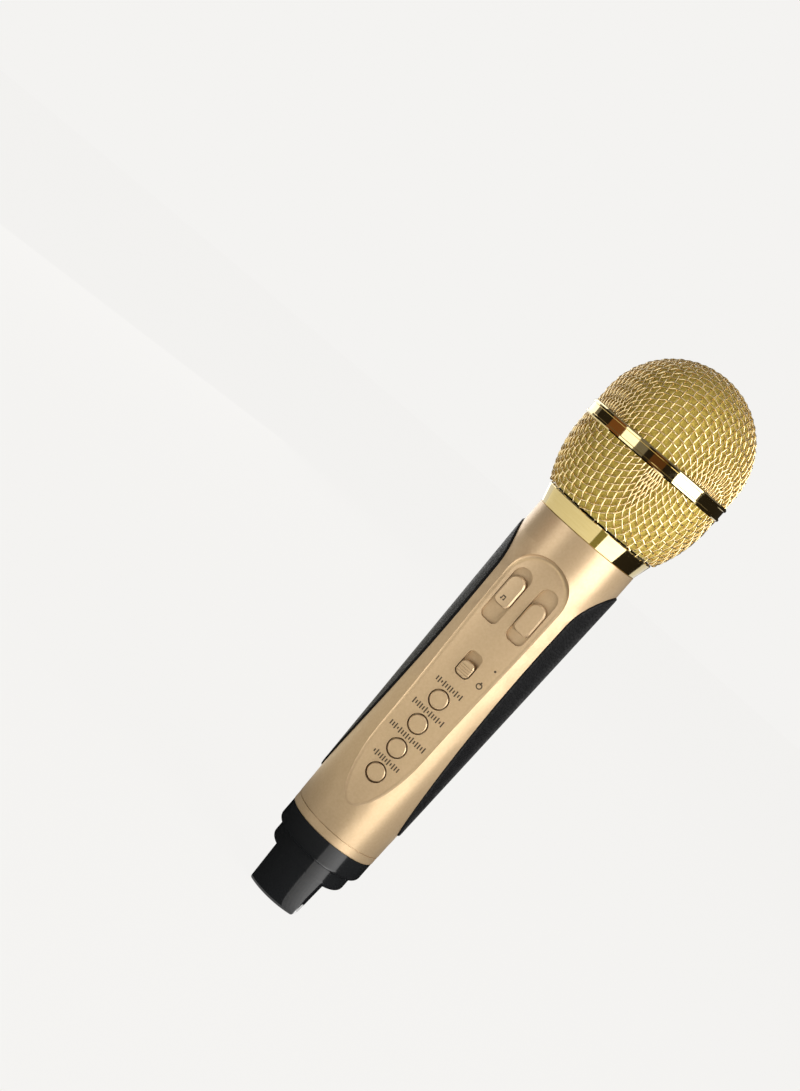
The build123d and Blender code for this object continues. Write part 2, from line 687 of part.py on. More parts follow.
def rear_casing():
    """Rear half of the handle with the battery opening, screw bosses and the tail screw lug."""
    shell = case_shell() & block(-30, 30, SEAM / 2, 40, 0, 250)
    for x, z in case_screw_spots():
        shell += screw_boss(x, z, BOSS_R + BOSS_EXTRA, SEAM / 2, 25)
    lug_low = BODY_Z0 + SPIGOT_H + FIT
    lug = block(-LUG_HALF, LUG_HALF, TAIL_SCREW_Y - LUG_FRONT, 30, lug_low, lug_low + LUG_H)
    shell += lug & handle_solid(-WALL / 2, CASE_Z0, BODY_Z1)
    shell -= door_outline(DOOR_GAP)
    shell -= grip_bed()
    for x, z in case_screw_spots():
        shell -= bar_y(SCREW_R + FIT, x, z, -1, 40)
        shell -= bar_y(SCREW_HEAD_R + FIT, x, z, screw_head_y(x, z), 40)
    return shell - rod(SCREW_R, 0, TAIL_SCREW_Y, lug_low - OVER, lug_low + LUG_H - OVER)


def screw_head_y(x, z):
    """Depth of the seat under a casing screw's head."""
    return sqrt(handle_radius(z) ** 2 - (abs(x) + SCREW_HEAD_R) ** 2) - SCREW_HEAD_H - HEAD_SUNK


def casing_screws():
    """Four screws that close the casings from the rear."""
    screws = []
    for x, z in case_screw_spots():
        seat = screw_head_y(x, z)
        shank = bar_y(SCREW_R - FIT / 2, x, z, -THREAD_REACH, seat + 2 * FIT)
        head = bar_y(SCREW_HEAD_R, x, z, seat + FIT / 2, seat + SCREW_HEAD_H)
        bars = Box(CROSS, 2 * CROSS_DEPTH, CROSS_W) + Box(CROSS_W, 2 * CROSS_DEPTH, CROSS)
        cross = Pos(x, seat + SCREW_HEAD_H, z) * bars
        screws.append(shank + head - cross)
    return screws


def trim_ring():
    """Ring that closes the lower edge of the handle, with a shadow groove above it."""
    bore = BODY_R_LOW - WALL + FIT
    groove = BODY_R_LOW - TRIM_GROOVE_DEPTH
    edge = 0.3
    top = CASE_Z0 - TRIM_GROOVE_H
    return turned(
        (bore, BODY_Z0), (BODY_R_LOW - edge, BODY_Z0), (BODY_R_LOW, BODY_Z0 + edge),
        (BODY_R_LOW, top), (groove, top), (groove, CASE_Z0), (bore, CASE_Z0),
    )


def tongue(inset, z0, z1):
    """Flat-sided tongue: front flush with the disc, sides tapering to the foot."""
    front = DISC_R + 5
    back = TONGUE_BACK_Y - inset

    def section(z):
        spread = (TONGUE_HALF_TOP - TONGUE_HALF_FOOT) * z / TONGUE_H
        half = TONGUE_HALF_FOOT + spread - inset
        return Pos(0, (back - front) / 2, z) * Rectangle(2 * half, front + back)

    return loft([section(z0), section(z1)]) & rod(DISC_R - 0.2 - inset, 0, 0, z0, z1)


def upright(edges):
    """Edges that run mostly along Z."""
    return [e for e in edges if abs((e @ 1).Z - (e @ 0).Z) > 0.8 * e.length]


def tail_cap():
    """Glossy tail: ring, smaller disc and tongue, hollow, with a plug that fits the handle."""
    foot = tongue(0.0, 0.0, TONGUE_H + TAIL_EDGE + 0.4)
    foot = fillet(upright(foot.edges()), TONGUE_CORNER)
    foot = fillet(foot.edges().group_by(Axis.Z)[0], FOOT_EDGE)
    disc = rod(DISC_R, 0, 0, TONGUE_H, TONGUE_H + DISC_H)
    disc = fillet(disc.edges().group_by(Axis.Z)[0], TAIL_EDGE)
    ring = rod(RING_R, 0, 0, TONGUE_H + DISC_H, BODY_Z0)
    ring = fillet(ring.edges().group_by(Axis.Z)[0], TAIL_EDGE)
    plug_r = BODY_R_LOW - WALL
    plug = rod(plug_r, 0, 0, BODY_Z0, BODY_Z0 + SPIGOT_H)
    floor_z = TONGUE_H + TAIL_WALL
    hollow = rod(plug_r - SPIGOT_WALL, 0, 0, floor_z, BODY_Z0 + SPIGOT_H + 1)
    hollow += tongue(TAIL_WALL, TAIL_WALL, floor_z + 1)
    pillar = rod(BOSS_R, 0, TAIL_SCREW_Y, TONGUE_H + 1, BODY_Z0 + SPIGOT_H)
    cap = foot + disc + ring + plug - hollow + pillar
    cap -= rod(SCREW_R + FIT, 0, TAIL_SCREW_Y, 0, BODY_Z0 + SPIGOT_H + 1)
    return cap - rod(SCREW_HEAD_R + FIT, 0, TAIL_SCREW_Y, 0, TONGUE_H + SCREW_HEAD_H + TAIL_HEAD_SUNK)


def tail_screw():
    """Screw that draws the tail cap up against the trim ring."""
    seat = TONGUE_H + SCREW_HEAD_H + TAIL_HEAD_SUNK
    tip = BODY_Z0 + SPIGOT_H + TAIL_THREAD
    shank = rod(SCREW_R - FIT / 2, 0, TAIL_SCREW_Y, seat - 2 * FIT, tip)
    head = rod(SCREW_HEAD_R, 0, TAIL_SCREW_Y, seat - SCREW_HEAD_H, seat - FIT / 2)
    bars = Box(CROSS, CROSS_W, 2 * CROSS_DEPTH) + Box(CROSS_W, CROSS, 2 * CROSS_DEPTH)
    return shank + head - Pos(0, TAIL_SCREW_Y, seat - SCREW_HEAD_H) * bars


def antenna():
    """Helical aerial standing in the tongue, drawn as a former with closed turns."""
    core = rod(AERIAL_CORE_R, 0, AERIAL_Y, AERIAL_FOOT, AERIAL_FOOT + AERIAL_LEN)
    starts = [AERIAL_FOOT + AERIAL_PITCH * (i + 0.6) for i in range(AERIAL_TURNS)]
    return core + [rod(AERIAL_TURN_R, 0, AERIAL_Y, z, z + AERIAL_PITCH / 2) for z in starts]


# ---- battery bay

def cell_spots():
    """Centre lines of the two cells."""
    offset = CELL_R + CELL_GAP / 2
    return [(-offset, CELL_Y), (offset, CELL_Y)]


def battery_tray():
    """Moulded tray between the cells and the circuit board."""
    low = BODY_Z0 + BAY_LOW_V
    high = low + BAY_LEN + 2 * TRAY_T
    back = CELL_Y - CELL_R - FIT
    inside = handle_solid(-WALL - FIT, low - 1, high + 1)
    floor_plate = block(-25, 25, back - TRAY_T, back, low, high)
    walls = [block(-13.5, 13.5, back, CELL_Y + 4.5, z, z + TRAY_T) for z in (low, high - TRAY_T)]
    rib = block(-0.6, 0.6, back, CELL_Y - 4.2, low, high)
    return (floor_plate + walls + rib) & inside


def battery_cells():
    """Two AA cells side by side, one each way up."""
    low = BODY_Z0 + BAY_LOW_V + TRAY_T + CONTACT_T
    cells = []
    for i, (x, y) in enumerate(cell_spots()):
        z = low + SPRING_LEN if i == 0 else low + CELL_NUB_H
        body = rod(CELL_R, x, y, z, z + CELL_LEN)
        body = chamfer(body.edges().filter_by(GeomType.CIRCLE), 0.5)
        nub_z = z + CELL_LEN if i == 0 else z - CELL_NUB_H
        cells.append(body + rod(CELL_NUB_R, x, y, nub_z, nub_z + CELL_NUB_H))
    return cells


def battery_springs():
    """Conical contact springs under the flat ends, drawn as closed coils."""
    low = BODY_Z0 + BAY_LOW_V + TRAY_T + CONTACT_T
    high = low + BAY_LEN - 2 * CONTACT_T
    springs = []
    for i, (x, y) in enumerate(cell_spots()):
        base, way = (low, 1) if i == 0 else (high, -1)
        coil = []
        for turn in range(4):
            radius = 4.6 - 0.7 * turn
            z = base + way * (0.1 + SPRING_LEN * turn / 4)
            coil += [(radius, z), (radius - 0.35, z + way * SPRING_LEN / 8)]
        tip = base + way * (SPRING_LEN - FIT)
        springs.append(Pos(x, y, 0) * turned(*coil, (2.2, tip), (1.4, tip), (3.4, base + way * 0.1)))
    return springs


def battery_contacts():
    """Contact plates: a bridge at the low end and two tabs at the high end."""
    low = BODY_Z0 + BAY_LOW_V + TRAY_T
    high = low + BAY_LEN
    y0, y1 = CELL_Y - 4.0, CELL_Y + 4.0
    plates = [block(-12.0, 12.0, y0, y1, low, low + CONTACT_T - FIT / 2)]
    for x, y in cell_spots():
        plates.append(block(x - 4.5, x + 4.5, y0, y1, high - CONTACT_T + FIT / 2, high))
    return plates


def battery_door():
    """Curved door with two hooks below and a thumb notch above."""
    skin = handle_solid(0, DOOR_Z0, DOOR_Z1) - handle_solid(-DOOR_T, DOOR_Z0 - 1, DOOR_Z1 + 1)
    door = skin & door_outline(0)
    back = handle_radius(DOOR_Z0)
    for x in (-HOOK_X, HOOK_X):
        inner = sqrt((back - WALL) ** 2 - (abs(x) + HOOK_W / 2) ** 2) - 0.35
        hook = block(x - HOOK_W / 2, x + HOOK_W / 2, inner - HOOK_T, inner, DOOR_Z0 - HOOK_LEN, DOOR_Z0 + 3)
        riser = block(x - HOOK_W / 2, x + HOOK_W / 2, inner - HOOK_T, back, DOOR_Z0 + 0.6, DOOR_Z0 + 3)
        door += hook + (riser & handle_solid(-DOOR_T / 2, DOOR_Z0, DOOR_Z0 + 10))
    notch = Pos(0, handle_radius(DOOR_Z1) + 6.2, DOOR_Z1 - 5.5) * Sphere(7.0)
    ridges = [block(-5, 5, 0, 40, DOOR_Z1 - 13.5 - 1.8 * i, DOOR_Z1 - 12.7 - 1.8 * i) for i in range(4)]
    groove = handle_solid(5, DOOR_Z0, DOOR_Z1) - handle_solid(-0.4, DOOR_Z0 - 1, DOOR_Z1 + 1)
    return door - notch - [ridge & groove for ridge in ridges]


# ---- board and controls, built in panel space

def main_board():
    """Circuit board behind the panel."""
    plate = block(-BOARD_HALF, BOARD_HALF, BOARD_LOW_V, BOARD_TOP_V, BOARD_W - BOARD_T, BOARD_W)
    holes = [rod(BOARD_HOLE_R, side * BOARD_HOLE_X, v, 2 * BOARD_W, 0) for side in (-1, 1) for v in BOARD_SCREW_V]
    return PANEL.location * (plate - holes)


def board_screws():
    """Screws that hold the board to the posts of the front casing."""
    screws = []
    back = BOARD_W - BOARD_T
    for side in (-1, 1):
        for v in BOARD_SCREW_V:
            shank = rod(BOARD_SHANK_R, side * BOARD_HOLE_X, v, back - 2 * FIT, BOARD_W + BOARD_THREAD)
            head = rod(BOARD_HEAD_R, side * BOARD_HOLE_X, v, back - BOARD_HEAD_H, back - FIT / 2)
            screws.append(PANEL.location * (shank + head))
    return screws


def radio_can():
    """Screening can over the transmitter on the back of the board."""
    back = BOARD_W - BOARD_T - FIT / 2
    low = BOARD_LOW_V + 2 * OVER
    return PANEL.location * block(-CAN_HALF, CAN_HALF, low, low + CAN_LEN, back - CAN_H, back)


def audio_chips():
    """Sound chip and its memory on the back of the board."""
    back = BOARD_W - BOARD_T - FIT / 2
    spots = ((0, BOARD_LOW_V + 30, 4.0), (0, BOARD_LOW_V + 42, 2.6))
    return [PANEL.location * block(x - h, x + h, v - h, v + h, back - CHIP_H, back) for x, v, h in spots]


def tact_switches():
    """Four square tact switches under the buttons."""
    switches = []
    face = BOARD_W + FIT / 2
    for i in range(BUTTON_COUNT):
        v = button_v(i)
        body = block(-TACT / 2, TACT / 2, v - TACT / 2, v + TACT / 2, face, BOARD_W + TACT_H)
        well = rod(PLUNGER_R + FIT, 0, v, BOARD_W + TACT_H - PLUNGER_WELL, BOARD_W + TACT_H + OVER)
        switches.append(PANEL.location * (body - well))
    return switches


def tact_plunger(i):
    """Plunger of one tact switch, carried down by its button."""
    face = BOARD_W + TACT_H
    return PANEL.location * rod(PLUNGER_R, 0, button_v(i), face - PLUNGER_OUT, face + PLUNGER_OUT)


def effect_button(i):
    """Round push button with a retaining flange and a stem that meets its plunger."""
    v = button_v(i)
    seat = -PANEL_WALL - SLIDE_GAP
    cap = rod(BUTTON_R, 0, v, seat - BUTTON_FLANGE_T / 2, BUTTON_PROUD)
    cap = chamfer(cap.edges().group_by(Axis.Z)[-1], BUTTON_EDGE)
    flange = rod(BUTTON_HOLE_R + BUTTON_FLANGE, 0, v, seat - BUTTON_FLANGE_T, seat)
    stem = rod(PLUNGER_R, 0, v, BOARD_W + TACT_H + PLUNGER_OUT, seat - BUTTON_FLANGE_T / 2)
    return PANEL.location * (cap + flange + stem)


def fader_low(rest):
    """Lower end of a fader cap that rests the given distance below its upper stop."""
    return SLOT_TOP_V - SLOT_GAP - rest - FADER_LEN


def fader(side, rest):
    """Fader: arched cap, apron that closes the slot, and a socket for the lever."""
    low = fader_low(rest)
    width = SLOT_W - 2 * SLOT_GAP
    cap = slot_cutter(side * SLOT_X, low, low + FADER_LEN, width, True)
    crown = PANEL_CROWN_R + FADER_PROUD
    dome = Pos(0, low + FADER_LEN / 2, FADER_PROUD - crown) * Rot(90, 0, 0) * Cylinder(crown, 2 * FADER_LEN)
    cap = (cap & dome) & block(-30, 30, 0, 200, APRON_W - APRON_T / 2, 10)
    top = [e for e in cap.edges() if (e @ 0.5).Z > 0 and (e @ 0).Z > 0 and (e @ 1).Z > 0]
    cap = chamfer(top, 0.5)
    half = SLOT_W / 2 + APRON_SIDE
    reach = APRON_SPARE + TRAVEL
    x, mid = side * SLOT_X, low + FADER_LEN / 2
    apron = block(x - half, x + half, low - reach, low + FADER_LEN + reach, APRON_W - APRON_T, APRON_W)
    return PANEL.location * (cap + apron + lever_socket(x, mid, APRON_W - APRON_T / 2) - lever_fit(x, mid))


def lever_socket(x, mid, high_w):
    """Square socket under a cap."""
    return block(x - SOCKET_HALF, x + SOCKET_HALF, mid - SOCKET_HALF, mid + SOCKET_HALF, SOCKET_LOW_W, high_w)


def lever_fit(x, mid):
    """What a socket leaves free for its lever."""
    half_x, half_v = LEVER_W / 2 + FIT, LEVER_L / 2 + FIT
    high = LEVER_TOP_W + 2 * FIT
    return block(x - half_x, x + half_x, mid - half_v, mid + half_v, SOCKET_LOW_W - OVER, high)


def slide_lever(x, mid):
    """Metal lever of a slide control, carried by the cap above it."""
    low_w = BOARD_W + POT_H - LEVER_SUNK
    half_x, half_v = LEVER_W / 2, LEVER_L / 2
    return PANEL.location * block(x - half_x, x + half_x, mid - half_v, mid + half_v, low_w, LEVER_TOP_W)


def fader_lever(side, rest):
    """Lever of a slide potentiometer."""
    return slide_lever(side * SLOT_X, fader_low(rest) + FADER_LEN / 2)


def control_body(x, half, low, high, end):
    """Body of a slide control on the board, with the slit that its lever runs in."""
    slack = LEVER_L / 2 + 2 * LEVER_PLAY
    slit_half = LEVER_W / 2 + LEVER_PLAY
    top = BOARD_W + POT_H
    body = block(x - half, x + half, low - end, high + end, BOARD_W + FIT / 2, top)
    slit = block(x - slit_half, x + slit_half, low - slack, high + slack, top - SLIT_DEPTH, 0)
    return PANEL.location * (body - slit)


def slide_pot(side):
    """Body of a slide potentiometer."""
    low = SLOT_TOP_V - SLOT_LEN + SLOT_GAP + FADER_LEN / 2
    return control_body(side * SLOT_X, POT_WIDTH / 2, low, low + TRAVEL, POT_END)


def power_low():
    """Lower end of the power cap when it is off."""
    return POWER_LOW_V + SLOT_GAP


def power_slider():
    """Ridged power cap with its apron and lever socket."""
    low = power_low()
    width = POWER_W - 2 * SLOT_GAP
    cap = slot_cutter(0, low, low + POWER_LEN, width, False) & block(-9, 9, 0, 200, -4.2, POWER_PROUD)
    cap = chamfer(cap.edges().group_by(Axis.Z)[-1], 0.35)
    ridges = [block(-4, 4, low + 1.1 + 0.9 * i, low + 1.5 + 0.9 * i, POWER_PROUD - 0.3, 3) for i in range(4)]
    half = POWER_W / 2 + APRON_SIDE
    reach = APRON_SPARE + POWER_TRAVEL
    apron_w = -PANEL_WALL - SLIDE_GAP
    apron = block(-half, half, low - reach, low + POWER_LEN + reach, apron_w - APRON_T, apron_w)
    mid = low + POWER_LEN / 2
    socket = lever_socket(0, mid, apron_w - APRON_T / 2)
    return PANEL.location * (cap - ridges + apron + socket - lever_fit(0, mid))


def power_lever():
    """Lever of the power switch."""
    return slide_lever(0, power_low() + POWER_LEN / 2)


def power_switch():
    """Body of the slide switch that turns the microphone on."""
    mid = power_low() + POWER_LEN / 2
    return control_body(0, SWITCH_HALF, mid, mid + POWER_TRAVEL, SWITCH_END)


# ---- leads

def lead(radius, bends, *points):
    """Insulated lead along straight runs joined by arcs."""
    path = FilletPolyline(*points, radius=bends)
    start = Plane(origin=path @ 0, z_dir=path % 0)
    return sweep(start * RegularPolygon(radius, 6), path=path)


def board_point(u, v, w):
    """World place of a point given in panel space."""
    place = PANEL.from_local_coords(Vector(u, v, w))
    return (place.X, place.Y, place.Z)


def capsule_leads():
    """Two leads from the capsule's stem down to the top of the board."""
    leads = []
    for x in (-1.2, 1.2):
        top = (x, 0.0, CAPSULE_FLOOR_Z - 4.0)
        end = board_point(x, BOARD_TOP_V - 3.0, BOARD_W - BOARD_T - 1.0)
        knee = (x, end[1], BODY_Z1 - 2.0)
        hip = (x, 0.0, BODY_Z1 + 4.0)
        leads.append(lead(LEAD_R, 3.0, top, hip, knee, end))
    return leads


def battery_leads():
    """Two leads from the upper battery tabs to the board."""
    leads = []
    high = BODY_Z0 + BAY_LOW_V + BAY_LEN + 2 * TRAY_T
    for x in (-6.0, 6.0):
        end = board_point(x, BOARD_TOP_V - 1.0, BOARD_W - BOARD_T - 1.0)
        leads.append(lead(LEAD_R, 1.2, (x, CELL_Y, high + FIT), (x, CELL_Y, high + 2.2), (x, end[1], high + 2.2), end))
    return leads


def antenna_lead():
    """Lead from the board's lower end to the aerial."""
    top = board_point(3.0, BOARD_LOW_V + 1.0, BOARD_W - BOARD_T - 1.0)
    low = (0.0, AERIAL_Y, AERIAL_FOOT + AERIAL_LEN + FIT)
    return lead(LEAD_R, 2.0, top, (top[0], top[1], BODY_Z0 + 10), (0.0, AERIAL_Y, BODY_Z0 + 4.0), low)


def all_nodes():
    """Every node of the microphone by name."""
    nodes = {
        "upper_grille": upper_grille(),
        "lower_grille": lower_grille(),
        "grille_band": grille_band(),
        "neck_ring": neck_ring(),
        "upper_windscreen": upper_windscreen(),
        "lower_windscreen": lower_windscreen(),
        "capsule_carrier": capsule_carrier(),
        "shock_mount": shock_mount(),
        "capsule_cup": capsule_cup(),
        "capsule_magnet": capsule_magnet(),
        "capsule_diaphragm": capsule_diaphragm(),
        "capsule_front": capsule_front(),
        "capsule_leads": capsule_leads(),
        "front_casing": front_casing(),
        "rear_casing": rear_casing(),
        "left_grip": grip(-1),
        "right_grip": grip(1),
        "casing_screws": casing_screws(),
        "trim_ring": trim_ring(),
        "tail_cap": tail_cap(),
        "tail_screw": tail_screw(),
        "antenna": antenna(),
        "antenna_lead": antenna_lead(),
        "battery_tray": battery_tray(),
        "battery_cells": battery_cells(),
        "battery_springs": battery_springs(),
        "battery_contacts": battery_contacts(),
        "battery_leads": battery_leads(),
        "battery_door": battery_door(),
        "main_board": main_board(),
        "board_screws": board_screws(),
        "radio_can": radio_can(),
        "audio_chips": audio_chips(),
        "tact_switches": tact_switches(),
        "volume_slider": fader(-1, VOLUME_REST),
        "volume_lever": fader_lever(-1, VOLUME_REST),
        "volume_pot": slide_pot(-1),
        "echo_slider": fader(1, ECHO_REST),
        "echo_lever": fader_lever(1, ECHO_REST),
        "echo_pot": slide_pot(1),
        "power_slider": power_slider(),
        "power_lever": power_lever(),
        "power_switch": power_switch(),
    }
    for i in range(BUTTON_COUNT):
        nodes[f"effect_button_{i + 1}"] = effect_button(i)
        nodes[f"tact_plunger_{i + 1}"] = tact_plunger(i)
    return nodes


def export_nodes():
    """Write one STEP file per node."""
    os.makedirs("parts", exist_ok=True)
    for name, shape in all_nodes().items():
        solids = shape if isinstance(shape, list) else shape.solids()
        whole = solids[0] if len(solids) == 1 else Compound(children=list(solids))
        whole.label = name
        export_step(whole, f"parts/{name}.step")


if __name__ == "__main__":
    export_nodes()
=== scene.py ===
import json
import logging
import math
from dataclasses import dataclass
from enum import Enum

import bmesh
import bpy
from mathutils import Matrix, Vector


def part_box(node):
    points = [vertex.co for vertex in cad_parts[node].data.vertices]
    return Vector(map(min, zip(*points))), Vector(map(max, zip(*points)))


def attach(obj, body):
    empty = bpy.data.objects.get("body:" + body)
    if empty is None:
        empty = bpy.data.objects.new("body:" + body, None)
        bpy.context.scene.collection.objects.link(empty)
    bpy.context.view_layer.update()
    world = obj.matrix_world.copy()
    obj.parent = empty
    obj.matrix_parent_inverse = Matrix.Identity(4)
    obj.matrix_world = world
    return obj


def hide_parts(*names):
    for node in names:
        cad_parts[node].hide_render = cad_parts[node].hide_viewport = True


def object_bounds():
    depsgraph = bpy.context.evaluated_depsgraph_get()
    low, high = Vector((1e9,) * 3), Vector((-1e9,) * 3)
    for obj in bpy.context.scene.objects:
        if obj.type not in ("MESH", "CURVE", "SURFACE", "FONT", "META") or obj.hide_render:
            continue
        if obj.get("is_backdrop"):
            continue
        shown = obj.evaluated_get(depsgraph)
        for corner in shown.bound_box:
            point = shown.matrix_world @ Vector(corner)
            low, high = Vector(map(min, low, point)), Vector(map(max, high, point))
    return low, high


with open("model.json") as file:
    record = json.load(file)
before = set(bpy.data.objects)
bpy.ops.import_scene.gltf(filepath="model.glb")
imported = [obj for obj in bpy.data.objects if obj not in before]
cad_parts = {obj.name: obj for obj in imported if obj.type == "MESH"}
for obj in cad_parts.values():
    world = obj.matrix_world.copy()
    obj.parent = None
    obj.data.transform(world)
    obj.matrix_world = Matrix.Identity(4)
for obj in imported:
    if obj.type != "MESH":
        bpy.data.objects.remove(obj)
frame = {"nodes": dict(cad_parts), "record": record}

# Handheld karaoke microphone: gold woven grille, plated rings, sprayed handle,
# rubber side grips and a glossy black tail. Lengths are metres, MM turns millimetres into them.

LOG = logging.getLogger("microphone")
MM = 0.001
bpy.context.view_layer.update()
MERGE = 0.01 * MM

UP = Vector((0.0, 0.0, 1.0))

Socket = bpy.types.NodeSocket
Net = dict[tuple[int, int], Vector]


# ---- finishes


def linear(code: str) -> tuple[float, float, float, float]:
    """Turn an sRGB hex value into linear red, green, blue and alpha.

    Args:
        code: six hex digits.

    Returns:
        The linear colour with an alpha of one.
    """
    parts = [int(code[i : i + 2], 16) / 255 for i in (0, 2, 4)]
    low = [p / 12.92 if p <= 0.04045 else ((p + 0.055) / 1.055) ** 2.4 for p in parts]
    return (low[0], low[1], low[2], 1.0)


def add_node(
    tree: bpy.types.NodeTree, kind: str, inputs: dict[str, object] | None = None, **settings: object
) -> bpy.types.Node:
    """Add one shader node with its settings, values and links.

    Args:
        tree: the material's node tree.
        kind: Blender's name of the node type.
        inputs: value or incoming socket for each named input.
        settings: the node's own properties.

    Returns:
        The new node.
    """
    node = tree.nodes.new(kind)
    for name, value in settings.items():
        setattr(node, name, value)
    for name, value in (inputs or {}).items():
        if isinstance(value, Socket):
            tree.links.new(value, node.inputs[name])
        else:
            node.inputs[name].default_value = value
    return node


LEATHER_WARP = 0.6 * MM      # how far the leather's cells are pushed about
LEATHER_WARP_SCALE = 0.6     # fineness of that push beside the cells'
LEATHER_CREASE = 0.22        # width of the creases beside the cells'
LINE_STRETCH = 0.08          # fineness of drawn lines across the axis beside along it


class Grain(Enum):
    """How a finish's surface was made."""

    PEEL = "sprayed paint, with a faint orange peel"
    DRAWN = "drawn or turned metal, with fine lines round the axis"
    LEATHER = "moulded leather grain"
    PORES = "open foam pores"
    MOULDED = "moulded plastic with a fine spark-eroded texture"


@dataclass(frozen=True)
class Finish:
    """A real surface: what it is made of and what its texture gives the eye.

    The grain's size and relief are in millimetres. The second colour, mixed in where the grain is low,
    is painted shade in the recesses of the grain, and on coatings also their own darker patches. Leather
    cells are bent by a coarser noise, and drawn lines run on round the axis.
    """

    name: str
    colour: str
    hollow_shade_and_tone: str
    grain: Grain
    grain_mm: float
    relief_mm: float
    roughness: float
    roughness_spread: float = 0.05
    metallic: float = 0.0
    ior: float = 1.5
    coat: float = 0.0
    coat_roughness: float = 0.1
    specular: float = 0.5
    sheen: float = 0.0
    transmission: float = 0.0

    def pattern(self, tree: bpy.types.NodeTree) -> Socket:
        """Make the grain's height, from 0 in the hollows to 1.

        Args:
            tree: the material's node tree.

        Returns:
            The socket that carries the height.
        """
        coords = add_node(tree, "ShaderNodeTexCoord").outputs["Object"]
        scale = 1.0 / (self.grain_mm * MM)
        if self.grain is Grain.LEATHER:
            warp = add_node(
                tree, "ShaderNodeTexNoise",
                {"Vector": coords, "Scale": scale * LEATHER_WARP_SCALE, "Detail": 2.0},
            )
            bent = add_node(
                tree, "ShaderNodeMix",
                {"Factor": LEATHER_WARP, "A": coords, "B": warp.outputs["Color"]},
                data_type="VECTOR",
            )
            cells = add_node(
                tree, "ShaderNodeTexVoronoi",
                {"Vector": bent.outputs["Result"], "Scale": scale, "Randomness": 0.9},
                feature="DISTANCE_TO_EDGE",
            )
            spread = add_node(
                tree, "ShaderNodeMapRange",
                {"Value": cells.outputs["Distance"], "From Max": LEATHER_CREASE},
                interpolation_type="SMOOTHSTEP",
            )
            return spread.outputs["Result"]
        if self.grain is Grain.DRAWN:
            flat = add_node(
                tree, "ShaderNodeMapping",
                {"Vector": coords, "Scale": (LINE_STRETCH, LINE_STRETCH, 1.0)},
            )
            lines = add_node(
                tree, "ShaderNodeTexNoise",
                {"Vector": flat.outputs["Vector"], "Scale": scale, "Detail": 3.0},
            )
            return lines.outputs["Fac"]
        if self.grain is Grain.PORES:
            pores = add_node(
                tree, "ShaderNodeTexVoronoi", {"Vector": coords, "Scale": scale}, feature="SMOOTH_F1"
            )
            return pores.outputs["Distance"]
        detail = 4.0 if self.grain is Grain.MOULDED else 2.0
        skin = add_node(
            tree, "ShaderNodeTexNoise", {"Vector": coords, "Scale": scale, "Detail": detail}
        )
        return skin.outputs["Fac"]

    def material(self) -> bpy.types.Material:
        """Build the finish's material, or give the one made before.

        Returns:
            The material.
        """
        made = bpy.data.materials.get(self.name)
        if made is not None:
            return made
        made = bpy.data.materials.new(self.name)
        made.use_nodes = True
        tree = made.node_tree
        tree.nodes.clear()
        height = self.pattern(tree)
        # Where the grain is low the second colour shows: painted shade in its recesses, and on coatings also
        # their own darker patches.
        colour = add_node(
            tree, "ShaderNodeMix",
            {"Factor": height, "A": linear(self.hollow_shade_and_tone), "B": linear(self.colour)},
            data_type="RGBA",
        )
        gloss = add_node(
            tree, "ShaderNodeMapRange",
            {
                "Value": height,
                "To Min": self.roughness + self.roughness_spread,
                "To Max": max(0.0, self.roughness - self.roughness_spread),
            },
        )
        relief = add_node(
            tree, "ShaderNodeBump",
            {"Height": height, "Strength": 1.0, "Distance": self.relief_mm * MM},
        )
        shader = add_node(
            tree, "ShaderNodeBsdfPrincipled",
            {
                "Base Color": colour.outputs["Result"],
                "Roughness": gloss.outputs["Result"],
                "Normal": relief.outputs["Normal"],
                "Metallic": self.metallic,
                "IOR": self.ior,
                "Specular IOR Level": self.specular,
                "Coat Weight": self.coat,
                "Coat Roughness": self.coat_roughness,
                "Sheen Weight": self.sheen,
                "Transmission Weight": self.transmission,
            },
        )
        add_node(tree, "ShaderNodeOutputMaterial", {"Surface": shader.outputs["BSDF"]})
        return made


# Sprayed champagne-gold lacquer on ABS: aluminium flake under a satin clear coat.
GOLD_PAINT = Finish(
    "champagne_lacquer", "CBB18D", "BCA07B", Grain.PEEL, 0.9, 0.006, 0.34, 0.04,
    metallic=0.55, coat=0.15, coat_roughness=0.3,
)
# Bright gold plating on a turned ring: mirror-like, warm, with faint turning lines.
GOLD_PLATE = Finish(
    "gold_plated_ring", "DDCDA0", "D2BE86", Grain.DRAWN, 0.5, 0.002, 0.06, 0.03, metallic=1.0,
)
# Gold-plated steel wire, drawn and then woven: slightly duller than the rings.
GOLD_WIRE = Finish(
    "gold_plated_wire", "FCEBC4", "E8C886", Grain.PEEL, 0.8, 0.004, 0.2, 0.06, metallic=1.0,
)
# Open-cell windscreen foam dyed olive gold: matt, with pores painted darker as shade, so that they show as
# dark specks.
FOAM = Finish(
    "olive_gold_foam", "D2BE5A", "B8A244", Grain.PORES, 0.7, 0.25, 0.9, 0.05, sheen=0.2,
)
# Soft rubber moulded with a leather grain: near black, as the grain swallows most of the gloss; its creases
# are painted darker, as shade.
GRIP_RUBBER = Finish(
    "leather_grained_rubber", "0E0E10", "070708", Grain.LEATHER, 1.1, 0.09, 0.5, 0.06,
    specular=0.1543,
)
# Polished black ABS of the tail: deep gloss that mirrors the lights.
GLOSS_BLACK = Finish(
    "polished_black_abs", "1C1D1E", "191A1B", Grain.PEEL, 3.0, 0.004, 0.14, 0.02, coat=0.4,
    coat_roughness=0.06,
)
# Black glass-filled nylon of the inner mouldings.
INNER_PLASTIC = Finish(
    "black_moulded_nylon", "1C1C1E", "131315", Grain.MOULDED, 0.35, 0.01, 0.55,
)
# Natural rubber ring that holds the capsule.
SOFT_RUBBER = Finish("capsule_rubber", "171717", "101010", Grain.MOULDED, 0.5, 0.01, 0.7)
